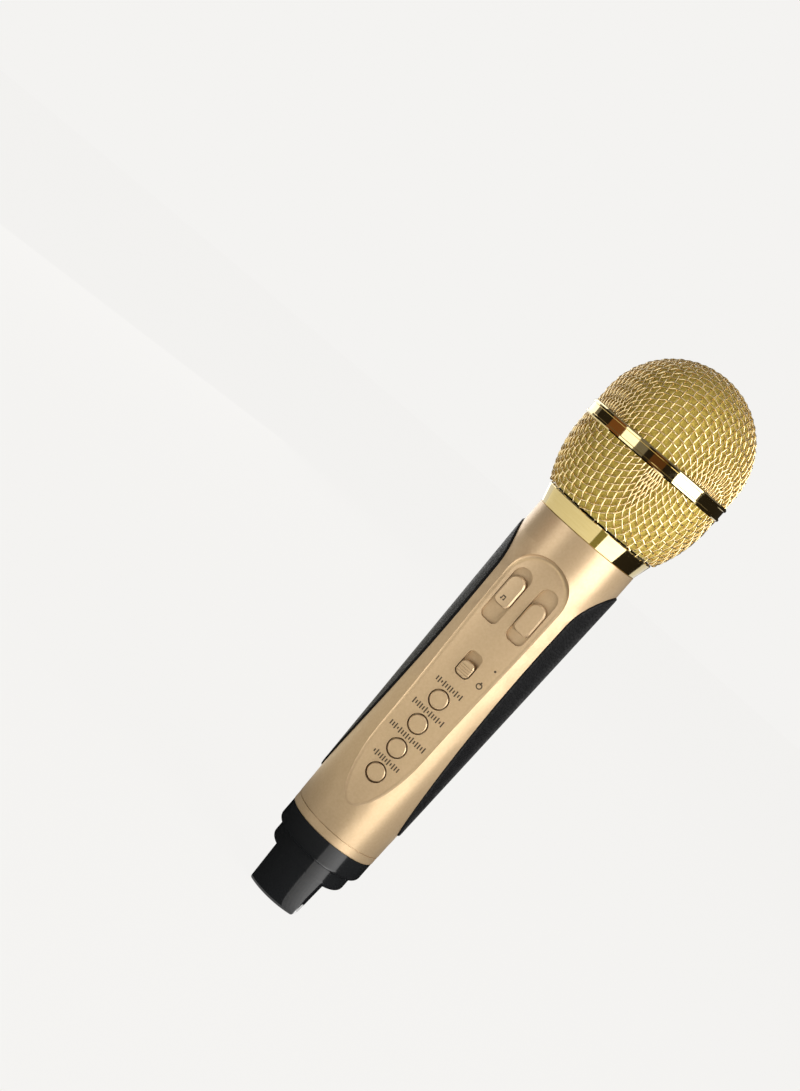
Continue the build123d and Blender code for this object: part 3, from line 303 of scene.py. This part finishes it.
# Turned aluminium of the capsule.
BARE_METAL = Finish(
    "turned_aluminium", "C9CACC", "A9ABAE", Grain.DRAWN, 0.25, 0.003, 0.32, 0.06, metallic=1.0,
)
# Nickel-plated neodymium magnet.
MAGNET = Finish(
    "plated_magnet", "A9A8A4", "94928E", Grain.PEEL, 0.8, 0.002, 0.25, 0.04, metallic=1.0,
)
# Clear polyester film of the diaphragm.
FILM = Finish(
    "polyester_film", "E6DFC4", "D8CFAF", Grain.PEEL, 1.5, 0.002, 0.12, 0.03, transmission=0.6,
)
# Insulated leads: extruded PVC.
RED_LEAD = Finish("red_pvc_lead", "8E1512", "79100E", Grain.PEEL, 0.6, 0.002, 0.4)
BLACK_LEAD = Finish("black_pvc_lead", "18181A", "111113", Grain.PEEL, 0.6, 0.002, 0.4)
# Blackened steel of the screws.
BLACK_STEEL = Finish(
    "blackened_steel", "2B2A29", "1E1D1C", Grain.DRAWN, 0.2, 0.003, 0.38, 0.08, metallic=1.0,
)
# Enamelled copper of the aerial.
COPPER = Finish(
    "enamelled_copper", "B5683A", "96512A", Grain.DRAWN, 0.3, 0.003, 0.25, 0.05, metallic=1.0,
)
# Shrink sleeve of a plain dry cell.
CELL_SLEEVE = Finish("cell_sleeve", "35373C", "2C2E33", Grain.PEEL, 2.0, 0.003, 0.28, coat=0.3)
# Nickel-plated spring steel of contacts, cans and levers.
NICKEL = Finish(
    "nickel_plate", "BDB9AE", "A39F94", Grain.DRAWN, 0.3, 0.002, 0.22, 0.06, metallic=1.0,
)
# Green solder mask over glass cloth.
BOARD = Finish("green_solder_mask", "1F5B33", "174827", Grain.MOULDED, 0.6, 0.006, 0.35, coat=0.2)
# Dark brown pad-printed ink of the panel's marks.
INK = Finish("pad_printed_ink", "4A3820", "3C2C17", Grain.PEEL, 0.5, 0.002, 0.5)

SLOT_FINISHES: dict[str, Finish] = {
    "gold_wire": GOLD_WIRE,
    "gold_chrome": GOLD_PLATE,
    "foam": FOAM,
    "inner_plastic": INNER_PLASTIC,
    "black_rubber": SOFT_RUBBER,
    "bare_metal": BARE_METAL,
    "magnet": MAGNET,
    "clear_film": FILM,
    "lead_red": RED_LEAD,
    "lead_black": BLACK_LEAD,
    "gold_paint": GOLD_PAINT,
    "grip_rubber": GRIP_RUBBER,
    "black_steel": BLACK_STEEL,
    "gloss_black": GLOSS_BLACK,
    "copper": COPPER,
    "cell_jacket": CELL_SLEEVE,
    "nickel": NICKEL,
    "circuit_board": BOARD,
}


# ---- making pieces


def finished_piece(
    name: str, mesh: bpy.types.Mesh, finish: Finish, body: str = "housing"
) -> bpy.types.Object:
    """Link a finished mesh into the scene and let it ride on a body.

    Args:
        name: the piece's name.
        mesh: its mesh, with its place in the vertices.
        finish: its finish.
        body: the body that carries it.

    Returns:
        The new object.
    """
    piece = bpy.data.objects.new(name, mesh)
    bpy.context.scene.collection.objects.link(piece)
    mesh.materials.clear()
    mesh.materials.append(finish.material())
    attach(piece, body)
    LOG.info("%s: %d faces on %s", name, len(mesh.polygons), body)
    return piece


def mesh_from(form: bmesh.types.BMesh, name: str, smooth: bool = True) -> bpy.types.Mesh:
    """Turn a bmesh into a mesh and free it.

    Args:
        form: the finished bmesh.
        name: the mesh's name.
        smooth: whether its faces are shaded smooth.

    Returns:
        The mesh.
    """
    for face in form.faces:
        face.smooth = smooth
    mesh = bpy.data.meshes.new(name)
    form.to_mesh(mesh)
    form.free()
    return mesh


@dataclass
class CadFinishes:
    """Finishes of the nodes that come from the frame."""

    record: dict[str, list[dict[str, str]]]

    def dress(self) -> None:
        """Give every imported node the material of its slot."""
        for entry in self.record["subparts"]:
            node = frame["nodes"][entry["node"]]
            material = SLOT_FINISHES[entry["material_slot"]].material()
            if not node.material_slots:
                node.data.materials.append(material)
            for place in node.material_slots:
                place.material = material
            LOG.info("%s wears %s", entry["node"], material.name)


# ---- head


@dataclass
class HeadForm:
    """The ball's form, read from the frame: a dome, a band and a bowl."""

    straight_above: float = 4.8 * MM
    straight_below: float = 3.4 * MM
    band_backing: float = 1.2 * MM
    neck_step: float = 0.7 * MM

    def __post_init__(self) -> None:
        """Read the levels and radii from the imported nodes."""
        band_low, band_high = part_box("grille_band")
        dome_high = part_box("upper_grille")[1]
        neck_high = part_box("neck_ring")[1]
        self.band_z0 = band_low.z + self.band_backing
        self.band_z1 = band_high.z - self.band_backing
        self.dome_z = self.band_z1 + self.straight_above
        self.radius = dome_high.z - self.dome_z
        self.neck_z = neck_high.z
        self.neck_r = neck_high.x
        self.bowl_z = self.band_z0 - self.straight_below
        rise = self.bowl_z - self.neck_z
        inset = self.radius - self.neck_r - self.neck_step
        self.bowl_arc = (rise**2 + inset**2) / (2 * inset)
        self.bowl_tilt = math.atan2(rise, self.bowl_arc - inset)

    def dome_point(self, rho: float, depth: float) -> Vector:
        """Place on the dome's section, on the +X side.

        Args:
            rho: distance from the pole along the surface.
            depth: how far inside the ball's outside the place lies.

        Returns:
            The place.
        """
        inside = self.radius - depth
        tilt = min(rho / inside, math.pi / 2)
        drop = max(0.0, rho - inside * math.pi / 2)
        level = self.dome_z + inside * math.cos(tilt) - drop
        return Vector((inside * math.sin(tilt), 0.0, level))

    def bowl_point(self, rho: float, depth: float) -> Vector:
        """Place on the bowl's section, on the +X side.

        Args:
            rho: the neck's radius plus the distance from the neck along the surface.
            depth: how far inside the bowl's outside the place lies.

        Returns:
            The place.
        """
        run = rho - self.neck_r
        arc = self.bowl_arc * self.bowl_tilt
        tilt = self.bowl_tilt - min(run, arc) / self.bowl_arc
        rise = max(0.0, run - arc)
        across = self.radius - self.bowl_arc + (self.bowl_arc - depth) * math.cos(tilt)
        level = self.bowl_z - (self.bowl_arc - depth) * math.sin(tilt) + rise
        return Vector((across, 0.0, level))

    def dome_reach(self) -> float:
        """Distance along the dome from the pole to the band."""
        return self.radius * math.pi / 2 + self.straight_above

    def bowl_reach(self) -> float:
        """The bowl's rho at the band."""
        return self.neck_r + self.bowl_arc * self.bowl_tilt + self.straight_below


class Half(Enum):
    """The two pressed halves of the grille."""

    DOME = "upper_grille"
    BOWL = "lower_grille"


@dataclass
class WovenGrille:
    """Plain-woven wire cloth pressed into one half of the ball.

    Wires don't stretch, so the pressed cloth keeps its crossings one pitch apart and
    shears instead: square cells along the two wires through the middle, narrow
    diamonds halfway between them. The bowl is pressed with a flat bottom, which is
    then cut out for the neck.
    """

    form: HeadForm
    half: Half
    pitch: float = 2.7 * MM
    wire: float = 0.56 * MM
    clearance: float = 0.03 * MM
    tuck: float = 0.5 * MM
    steps: int = 4
    rounds: int = 40
    dome_turn: float = math.radians(-87.6)
    bowl_turn: float = math.radians(-121.6)

    def __post_init__(self) -> None:
        """Work out the cloth's middle surface."""
        self.swing = (self.wire + self.clearance) / 2
        depth = self.wire / 2 + self.swing
        self.wall = self.form.radius - depth
        self.arc = self.form.bowl_arc - depth
        self.arc_centre = self.form.radius - self.form.bowl_arc
        drop = self.form.bowl_z - self.form.neck_z
        self.low_rim = math.sqrt(self.arc**2 - drop**2) + self.arc_centre

    def outward(self, place: Vector) -> tuple[Vector, Vector]:
        """Nearest place on the middle surface, and the direction out of it there.

        Args:
            place: any place near the surface.

        Returns:
            The nearest place and the unit vector that points out of the ball.
        """
        flat = Vector((place.x, place.y, 0.0))
        reach = flat.length
        across = flat / reach if reach > 0.0 else Vector((1.0, 0.0, 0.0))
        if self.half is Half.DOME:
            if place.z < self.form.dome_z:
                return across * self.wall + UP * place.z, across
            centre = UP * self.form.dome_z
            out = (place - centre).normalized()
            return centre + out * self.wall, out
        if place.z > self.form.bowl_z:
            return across * self.wall + UP * place.z, across
        if reach < self.low_rim:
            return flat + UP * self.form.neck_z, -UP
        centre = across * self.arc_centre + UP * self.form.bowl_z
        out = (place - centre).normalized()
        return centre + out * self.arc, out

    def crossings(self) -> Net:
        """Cast the net: every crossing of the cloth on the pressed form.

        Returns:
            The place of each crossing by its numbers along the two wires.
        """
        dome = self.half is Half.DOME
        top = UP * (self.form.dome_z + self.wall if dome else self.form.neck_z)
        reach = self.form.dome_reach() if dome else self.form.bowl_reach()
        count = math.ceil(reach / self.pitch) + 2
        net = {(0, 0): top}
        for quarter, (i_step, j_step) in enumerate(((1, 0), (0, 1), (-1, 0), (0, -1))):
            for n, place in enumerate(self.middle_wire(top, quarter, count), start=1):
                net[(n * i_step, n * j_step)] = place
        for si in (1, -1):
            for sj in (1, -1):
                for i in range(1, count + 1):
                    for j in range(1, count + 1):
                        self.knot(net, (si * i, sj * j), (si, sj))
        return net

    def middle_wire(self, top: Vector, quarter: int, count: int) -> list[Vector]:
        """Step along one of the wires that cross in the middle, outwards from there.

        Args:
            top: the middle of the cloth.
            quarter: which way the wire leaves, in quarter turns.
            count: how many crossings it passes.

        Returns:
            The place of each crossing in order.
        """
        heading = (self.dome_turn if self.half is Half.DOME else self.bowl_turn) + quarter * math.pi / 2
        ahead = Vector((math.cos(heading), math.sin(heading), 0.0))
        places: list[Vector] = []
        last = top
        for _ in range(count):
            place = last + ahead * self.pitch
            for _ in range(self.rounds):
                place = self.outward(place)[0]
                place = last + (place - last).normalized() * self.pitch
            ahead = (place - last).normalized()
            last = place
            places.append(place)
        return places

    def knot(self, net: Net, spot: tuple[int, int], way: tuple[int, int]) -> None:
        """Add the crossing that lies one pitch from its two inner neighbours.

        Args:
            net: the crossings found so far.
            spot: the new crossing's numbers.
            way: the signs of its quarter.
        """
        one = net.get((spot[0] - way[0], spot[1]))
        other = net.get((spot[0], spot[1] - way[1]))
        behind = net.get((spot[0] - way[0], spot[1] - way[1]))
        if one is None or other is None or behind is None:
            return
        if self.past_band(one) and self.past_band(other):
            return
        place = one + other - behind
        for _ in range(self.rounds):
            place = self.outward(place)[0]
            for near in (one, other):
                place = near + (place - near).normalized() * self.pitch
        net[spot] = self.outward(place)[0]

    def past_band(self, place: Vector) -> bool:
        """Tell whether a place lies beyond the band.

        Args:
            place: a crossing of the net.

        Returns:
            True where the net needs no further crossings.
        """
        if self.half is Half.DOME:
            return place.z < self.form.band_z1 - self.pitch
        return place.z > self.form.band_z0 + self.pitch

    def inside(self, place: Vector) -> bool:
        """Tell whether a place lies between the rims of this half.

        Args:
            place: a place on the cloth.

        Returns:
            True where the wire is kept.
        """
        if self.half is Half.DOME:
            return place.z > self.form.band_z1 - self.tuck
        return self.form.neck_z + self.wire / 2 < place.z < self.form.band_z0 + self.tuck

    def wires(self) -> list[list[tuple[Vector, float]]]:
        """Sort the crossings into wires, each over and under its neighbours in turn.

        Returns:
            For each wire, place and lift of its crossings in order.
        """
        net = self.crossings()
        found: list[list[tuple[Vector, float]]] = []
        for family, first in ((0, -1.0), (1, 1.0)):
            rows: dict[int, list[int]] = {}
            for spot in net:
                rows.setdefault(spot[family], []).append(spot[1 - family])
            for number, places in sorted(rows.items()):
                knots = []
                for along in sorted(places):
                    spot = (number, along) if family == 0 else (along, number)
                    knots.append((net[spot], -first if (number + along) % 2 else first))
                found.append(knots)
        return found

    def lay_wire(self, curve: bpy.types.Curve, knots: list[tuple[Vector, float]]) -> None:
        """Lay one wire through its crossings, cut at the rims.

        Args:
            curve: the curve that gathers the wires.
            knots: place and lift of each crossing in order.
        """
        run: list[Vector] = []
        for (start, lift_a), (stop, lift_b) in zip(knots, knots[1:]):
            for k in range(self.steps):
                share = k / self.steps
                place, out = self.outward(start.lerp(stop, share))
                ease = (1.0 - math.cos(math.pi * share)) / 2
                lift = lift_a + (lift_b - lift_a) * ease
                if self.inside(place):
                    run.append(place + out * lift * self.swing)
                elif run:
                    self.add_run(curve, run)
                    run = []
        self.add_run(curve, run)

    def add_run(self, curve: bpy.types.Curve, run: list[Vector]) -> None:
        """Add one cut length of wire to the curve.

        Args:
            curve: the curve that gathers the wires.
            run: its places in order.
        """
        if len(run) < 3:
            return
        spline = curve.splines.new("POLY")
        spline.points.add(len(run) - 1)
        for point, place in zip(spline.points, run):
            point.co = (*place, 1.0)
        spline.use_smooth = True

    def build(self) -> bpy.types.Object:
        """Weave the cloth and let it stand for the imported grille.

        Returns:
            The woven piece.
        """
        name = "woven_" + self.half.name.lower()
        curve = bpy.data.curves.new(name, "CURVE")
        curve.dimensions = "3D"
        curve.bevel_depth = self.wire / 2
        curve.bevel_resolution = 1
        curve.use_fill_caps = True
        for wire in self.wires():
            self.lay_wire(curve, wire)
        holder = bpy.data.objects.new(name + "_curve", curve)
        bpy.context.scene.collection.objects.link(holder)
        graph = bpy.context.evaluated_depsgraph_get()
        mesh = bpy.data.meshes.new_from_object(holder.evaluated_get(graph))
        bpy.data.objects.remove(holder)
        bpy.data.curves.remove(curve)
        piece = finished_piece(name, mesh, GOLD_WIRE)
        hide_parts(self.half.value)
        return piece


@dataclass
class Windscreen:
    """Foam liner close behind one half of the grille."""

    form: HeadForm
    half: Half
    depth: float = 1.45 * MM
    thickness: float = 3.4 * MM
    lap: float = 2.0 * MM
    rings: int = 24
    steps: int = 96

    def profile(self, depth: float) -> list[Vector]:
        """One wall of the liner in section.

        Args:
            depth: the wall's distance inside the ball's outside.

        Returns:
            Points from the pole, or from the neck, to the band.
        """
        if self.half is Half.DOME:
            far = self.form.dome_reach()
            return [self.form.dome_point(far * i / self.rings, depth) for i in range(self.rings + 1)]
        near, far = self.form.neck_r, self.form.bowl_reach() + self.lap
        wall = [near + (far - near) * i / self.rings for i in range(self.rings + 1)]
        return [self.form.bowl_point(rho, depth) for rho in wall]

    def build(self) -> bpy.types.Object:
        """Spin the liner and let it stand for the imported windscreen.

        Returns:
            The foam piece.
        """
        form = bmesh.new()
        outer = self.profile(self.depth)
        inner = self.profile(self.depth + self.thickness)
        loop = [form.verts.new(place) for place in outer + inner[::-1]]
        edges = [form.edges.new(pair) for pair in zip(loop, loop[1:])]
        if self.half is Half.BOWL:
            edges.append(form.edges.new((loop[-1], loop[0])))
        bmesh.ops.spin(
            form, geom=loop + edges, cent=(0, 0, 0), axis=(0, 0, 1), angle=2 * math.pi,
            steps=self.steps, use_merge=True,
        )
        bmesh.ops.remove_doubles(form, verts=form.verts, dist=MERGE)
        bmesh.ops.recalc_face_normals(form, faces=form.faces)
        name = "windscreen_" + self.half.name.lower()
        piece = finished_piece(name, mesh_from(form, name), FOAM)
        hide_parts("upper_windscreen" if self.half is Half.DOME else "lower_windscreen")
        return piece


# ---- control panel


@dataclass
class PanelFace:
    """The crowned, leaning face of the control panel."""

    sink: float = 1.89 * MM
    lean: float = math.radians(0.9)
    crown: float = 45.0 * MM
    runout: float = 200.0 * MM
    runout_v: float = 42.0 * MM

    def __post_init__(self) -> None:
        """Read the face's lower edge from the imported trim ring."""
        low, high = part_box("trim_ring")
        self.origin = Vector((0.0, low.y + self.sink, low.z))
        self.up = Vector((0.0, -math.sin(self.lean), math.cos(self.lean)))
        self.out = Vector((0.0, -math.cos(self.lean), -math.sin(self.lean)))

    def place(self, x: float, v: float, lift: float, proud: float = 0.0) -> Vector:
        """Place of a point on the face.

        Args:
            x: distance to the right of the middle.
            v: height along the panel.
            lift: distance off the surface.
            proud: how far the surface stands in front of the panel.

        Returns:
            The place.
        """
        below = max(0.0, self.runout_v - v)
        rise = proud + self.runout - math.sqrt(self.runout**2 - below**2)
        crown = self.crown + rise
        bulge = math.sqrt(crown**2 - x**2) - crown + rise
        across = Vector((x, 0.0, 0.0))
        return self.origin + across + self.up * v + self.out * (bulge + lift)


class Stamp:
    """Flat printed shapes that are laid on the panel as a thin film of ink."""

    def __init__(self, face: PanelFace, proud: float = 0.0) -> None:
        """Start an empty print.

        Args:
            face: the panel's face.
            proud: how far the printed surface stands in front of the panel.
        """
        self.face = face
        self.proud = proud
        self.form = bmesh.new()

    def bar(self, x: float, v: float, width: float, height: float) -> None:
        """Print a bar.

        Args:
            x: its middle across the panel.
            v: its middle along the panel.
            width: its width.
            height: its height.
        """
        spot = Matrix.Translation((x, v, 0.0))
        size = Matrix.Diagonal((width / 2, height / 2, 1.0, 1.0))
        bmesh.ops.create_grid(self.form, x_segments=1, y_segments=1, size=1.0, matrix=spot @ size)

    def ring(self, x: float, v: float, radius: float, line: float, segments: int = 28) -> None:
        """Print a ring, or a dot where the line is as wide as the radius.

        Args:
            x: its middle across the panel.
            v: its middle along the panel.
            radius: its outer radius.
            line: the width of its line.
            segments: how many sides it has.
        """
        made = bmesh.ops.create_circle(
            self.form, cap_ends=True, radius=radius, segments=segments,
            matrix=Matrix.Translation((x, v, 0.0)),
        )
        faces = list({face for vert in made["verts"] for face in vert.link_faces})
        if line < radius:
            bmesh.ops.inset_region(
                self.form, faces=faces, thickness=line, use_even_offset=True, use_boundary=True
            )
            bmesh.ops.delete(self.form, geom=faces, context="FACES")

    def press(self, name: str, body: str, film: float = 0.04 * MM) -> bpy.types.Object:
        """Give the print its thickness and lay it on the face.

        Args:
            name: the piece's name.
            body: the body that carries it.
            film: the ink's thickness.

        Returns:
            The printed piece.
        """
        bmesh.ops.recalc_face_normals(self.form, faces=self.form.faces)
        made = bmesh.ops.extrude_face_region(self.form, geom=self.form.faces[:])
        top = [item for item in made["geom"] if isinstance(item, bmesh.types.BMVert)]
        bmesh.ops.translate(self.form, verts=top, vec=(0.0, 0.0, 2 * film))
        for vert in self.form.verts:
            x, v, lift = vert.co
            vert.co = self.face.place(x, v, lift - film, self.proud)
        bmesh.ops.recalc_face_normals(self.form, faces=self.form.faces)
        mesh = mesh_from(self.form, name, smooth=False)
        return finished_piece(name, mesh, INK, body)


@dataclass
class PanelMarks:
    """Plain marks printed beside the controls, with no words."""

    face: PanelFace
    button_top: float = 61.0 * MM
    button_pitch: float = 10.85 * MM
    mark_rise: float = 5.3 * MM
    mark_height: float = 2.3 * MM
    mark_width: tuple[float, ...] = (11.6 * MM, 13.6 * MM, 16.0 * MM, 12.0 * MM)
    bar_pitch: float = 1.05 * MM
    line: float = 0.47 * MM
    shortest: float = 0.35
    power_r: float = 1.15 * MM
    power_bar: float = 1.2 * MM
    dot_r: float = 0.42 * MM
    note_head_r: float = 0.32 * MM
    note_reach: float = 0.55 * MM
    note_height: float = 1.3 * MM
    off_spot: tuple[float, float] = (7.2 * MM, 73.4 * MM)
    dot_spot: tuple[float, float] = (8.1 * MM, 80.6 * MM)
    fader_spot: tuple[float, float] = (-5.9 * MM, 101.2 * MM)
    fader_proud: float = 1.3 * MM

    def sound_bars(self, stamp: Stamp, number: int) -> None:
        """Print a row of level bars over one effect button.

        Args:
            stamp: the print that gathers the shapes.
            number: which button it is for, from the top.
        """
        count = round(self.mark_width[number] / self.bar_pitch)
        level = self.button_top - number * self.button_pitch + self.mark_rise
        for i in range(count):
            # Each row is another stretch of one rectified wave, as on a level meter.
            swell = abs(math.sin(1.3 * i + 0.9 * number + 0.6))
            height = self.mark_height * (self.shortest + (1.0 - self.shortest) * swell)
            stamp.bar((i - (count - 1) / 2) * self.bar_pitch, level, self.line, height)

    def build(self) -> None:
        """Print every mark."""
        stamp = Stamp(self.face)
        for number in range(len(self.mark_width)):
            self.sound_bars(stamp, number)
        x, v = self.off_spot
        stamp.ring(x, v, self.power_r, self.line * 0.9)
        stamp.bar(x, v + 1.0 * MM, self.line, self.power_bar)
        stamp.ring(*self.dot_spot, self.dot_r, self.dot_r, segments=16)
        stamp.press("panel_marks", "housing")
        self.print_note()

    def print_note(self) -> None:
        """Print a pair of joined notes on the volume fader's cap."""
        note = Stamp(self.face, self.fader_proud)
        x, v = self.fader_spot
        for side in (-1, 1):
            stem = x + side * self.note_reach
            head = (stem - 0.15 * MM, v - 0.6 * MM)
            note.ring(*head, self.note_head_r, self.note_head_r, segments=14)
            note.bar(stem, v, self.line * 0.7, self.note_height)
        note.bar(x, v + 0.6 * MM, self.note_height, self.line)
        note.press("volume_mark", "volume_fader")


# ---- studio


@dataclass
class Studio:
    """Plain floor, white surroundings, softboxes and the camera."""

    aim: Vector
    camera_azimuth: float = math.radians(7.4)
    camera_reach: float = 0.690
    camera_rise: float = 0.197
    focal_mm: float = 67.3
    roll: float = 0.70964798
    aside: float = -0.0675646
    down: float = -0.11363306
    floor_glow: float = 0.98
    floor_r: float = 2.6

    def lamp(
        self, name: str, azimuth: float, height: float, reach: float, size: tuple[float, float], watts: float
    ) -> None:
        """Hang one softbox round the microphone.

        Args:
            name: the lamp's name.
            azimuth: degrees to the right of the camera.
            height: height over the floor.
            reach: distance from the microphone.
            size: width and height of the box.
            watts: its power.
        """
        data = bpy.data.lights.new(name, "AREA")
        data.shape = "RECTANGLE"
        data.size, data.size_y = size
        data.energy = watts
        turn = self.camera_azimuth + math.radians(azimuth)
        lamp = bpy.data.objects.new(name, data)
        lamp.location = (reach * math.sin(turn), -reach * math.cos(turn), height)
        lamp.rotation_mode = "QUATERNION"
        lamp.rotation_quaternion = (self.aim - lamp.location).to_track_quat("-Z", "Y")
        bpy.context.scene.collection.objects.link(lamp)

    def plain(self, name: str, code: str, glow: float, base: str = "") -> bpy.types.Material:
        """A plain material for the floor and the surroundings.

        Args:
            name: the material's name.
            code: its sRGB hex colour.
            glow: how much light it gives by itself.
            base: its colour under the lamps, where that differs from the light it gives.

        Returns:
            The material.
        """
        made = bpy.data.materials.new(name)
        made.use_nodes = True
        shader = made.node_tree.nodes["Principled BSDF"]
        shader.inputs["Base Color"].default_value = linear(base or code)
        shader.inputs["Roughness"].default_value = 0.9
        shader.inputs["Specular IOR Level"].default_value = 0.0
        shader.inputs["Emission Color"].default_value = linear(code)
        shader.inputs["Emission Strength"].default_value = glow
        return made

    def surroundings(self) -> None:
        """Lay the floor and hang the white surroundings behind everything."""
        ground = bmesh.new()
        bmesh.ops.create_circle(ground, cap_ends=True, radius=self.floor_r, segments=96)
        floor = bpy.data.objects.new("floor", mesh_from(ground, "floor", smooth=False))
        floor.data.materials.append(self.plain("pale_floor", "F4F3F1", self.floor_glow, "302F2E"))
        # The white surroundings are only a backdrop: they light nothing and mirror nowhere.
        globe = bmesh.new()
        bmesh.ops.create_uvsphere(globe, u_segments=48, v_segments=24, radius=self.floor_r)
        bmesh.ops.reverse_faces(globe, faces=globe.faces)
        dome = bpy.data.objects.new("surroundings", mesh_from(globe, "surroundings"))
        white = self.plain("white_surroundings", "F4F3F1", self.floor_glow * 1.02, "000000")
        dome.data.materials.append(white)
        for unseen in ("diffuse", "glossy", "transmission", "volume_scatter", "shadow"):
            setattr(dome, "visible_" + unseen, False)
        for stand in (floor, dome):
            bpy.context.scene.collection.objects.link(stand)
            stand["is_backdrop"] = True

    def card(
        self, name: str, span: tuple[float, float], rise: tuple[float, float], code: str, glow: float,
        inner: float = 0.18, outer: float = 0.60,
    ) -> None:
        """Stand a curved card that only polished surfaces mirror.

        Args:
            name: the card's name.
            span: where it starts and stops, in degrees to the right of the camera.
            rise: its lower and upper edge over the floor, or one height twice for a card that lies.
            code: its sRGB hex colour.
            glow: how bright it shines.
            inner: where a lying card starts, from the microphone's axis.
            outer: how far from the axis it stands or reaches.
        """
        start, stop = (self.camera_azimuth + math.radians(edge) for edge in span)
        form = bmesh.new()
        near = inner if rise[0] == rise[1] else outer
        ends = [
            form.verts.new((reach * math.sin(start), -reach * math.cos(start), level))
            for reach, level in ((near, rise[0]), (outer, rise[1]))
        ]
        edge = form.edges.new(ends)
        bmesh.ops.spin(
            form, geom=ends + [edge], cent=(0, 0, 0), axis=(0, 0, 1), angle=stop - start, steps=24
        )
        stand = bpy.data.objects.new(name, mesh_from(form, name))
        stand.data.materials.append(self.plain(name, code, glow))
        for unseen in ("camera", "diffuse", "transmission", "volume_scatter", "shadow"):
            setattr(stand, "visible_" + unseen, False)
        bpy.context.scene.collection.objects.link(stand)
        stand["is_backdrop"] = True

    def world(self) -> None:
        """Dim, warm light from all round, so that the rings keep dark reflections."""
        sky = bpy.data.worlds.new("studio")
        sky.use_nodes = True
        air = sky.node_tree.nodes["Background"]
        air.inputs["Color"].default_value = linear("F2EBE0")
        air.inputs["Strength"].default_value = 0.25
        bpy.context.scene.world = sky

    def camera(self) -> None:
        """Stand the camera where the microphone is seen from the front right, lying aslant."""
        turn = self.camera_azimuth
        spot = Vector(
            (
                self.camera_reach * math.sin(turn),
                -self.camera_reach * math.cos(turn),
                self.camera_rise,
            )
        )
        ahead = Vector((-math.sin(turn), math.cos(turn), 0.0))
        sight = (ahead + UP * self.down + ahead.cross(UP) * self.aside).normalized()
        upright = (UP - sight * UP.dot(sight)).normalized()
        right = sight.cross(upright)
        frame_x = right * math.cos(self.roll) + upright * math.sin(self.roll)
        frame_y = upright * math.cos(self.roll) - right * math.sin(self.roll)
        axes = Matrix((frame_x, frame_y, -sight)).transposed()
        data = bpy.data.cameras.new("camera")
        data.lens = self.focal_mm
        data.clip_start = 0.01
        data.dof.use_dof = False
        eye = bpy.data.objects.new("camera", data)
        eye.matrix_world = Matrix.Translation(spot) @ axes.to_4x4()
        bpy.context.scene.collection.objects.link(eye)
        bpy.context.scene.camera = eye

    def build(self) -> None:
        """Set the studio up."""
        self.surroundings()
        self.world()
        self.camera()
        self.lamp("key_softbox", 54.0, 0.22, 0.85, (0.80, 0.95), 12.5)
        self.lamp("left_softbox", -48.0, 0.05, 0.95, (0.50, 0.80), 2.4)
        self.lamp("rear_softbox", -148.0, 0.35, 0.95, (0.70, 0.90), 3.5)
        self.lamp("top_softbox", 20.0, 1.10, 0.45, (0.60, 0.60), 1.6)
        wall, ground = (0.10, 0.46), (0.002, 0.002)
        dark = "1E1A15"
        self.card("right_flag", (82.0, 180.0), wall, dark, 1.0)
        self.card("front_flag", (14.0, 34.0), wall, dark, 1.0)
        self.card("front_brown", (-7.0, 14.0), wall, "5A3A20", 0.45)
        self.card("front_gap_flag", (-17.0, -7.0), wall, dark, 1.0)
        self.card("left_brown", (-86.0, -58.0), wall, "6A4426", 0.45)
        self.card("left_flag", (-118.0, -86.0), wall, dark, 1.0)
        self.card("right_floor_flag", (70.0, 150.0), ground, dark, 1.0)
        self.card("front_floor_flag", (9.0, 24.0), ground, "8A8450", 0.30)
        self.card("bright_floor_card", (24.0, 70.0), ground, "FFFFF8", 1.9)
        self.card("left_floor_card", (-180.0, 9.0), ground, "F4F0DC", 0.42)
        foot = (0.001, 0.001)
        self.card("tail_flag", (62.0, 374.0), foot, "0A0A0A", 0.0, inner=0.012, outer=0.17)
        shine = ((14.0, 0.12), (22.0, 0.3), (30.0, 0.55), (38.0, 0.85), (46.0, 1.15), (62.0, 0.0))
        for (start, glow), (stop, _) in zip(shine, shine[1:]):
            name = f"tail_shine_{start:.0f}"
            self.card(name, (start, stop), foot, "FFFFFF", glow, inner=0.012, outer=0.17)
        bpy.context.scene.view_settings.view_transform = "Standard"


def main() -> None:
    """Build the microphone's visible pieces and the studio round it."""
    logging.basicConfig(level=logging.INFO, format="%(name)s: %(message)s")
    CadFinishes(frame["record"]).dress()
    form = HeadForm()
    for half in Half:
        WovenGrille(form, half).build()
        Windscreen(form, half).build()
    PanelMarks(PanelFace()).build()
    low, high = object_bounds()
    Studio(aim=(low + high) / 2).build()


if __name__ == "__main__":
    main()
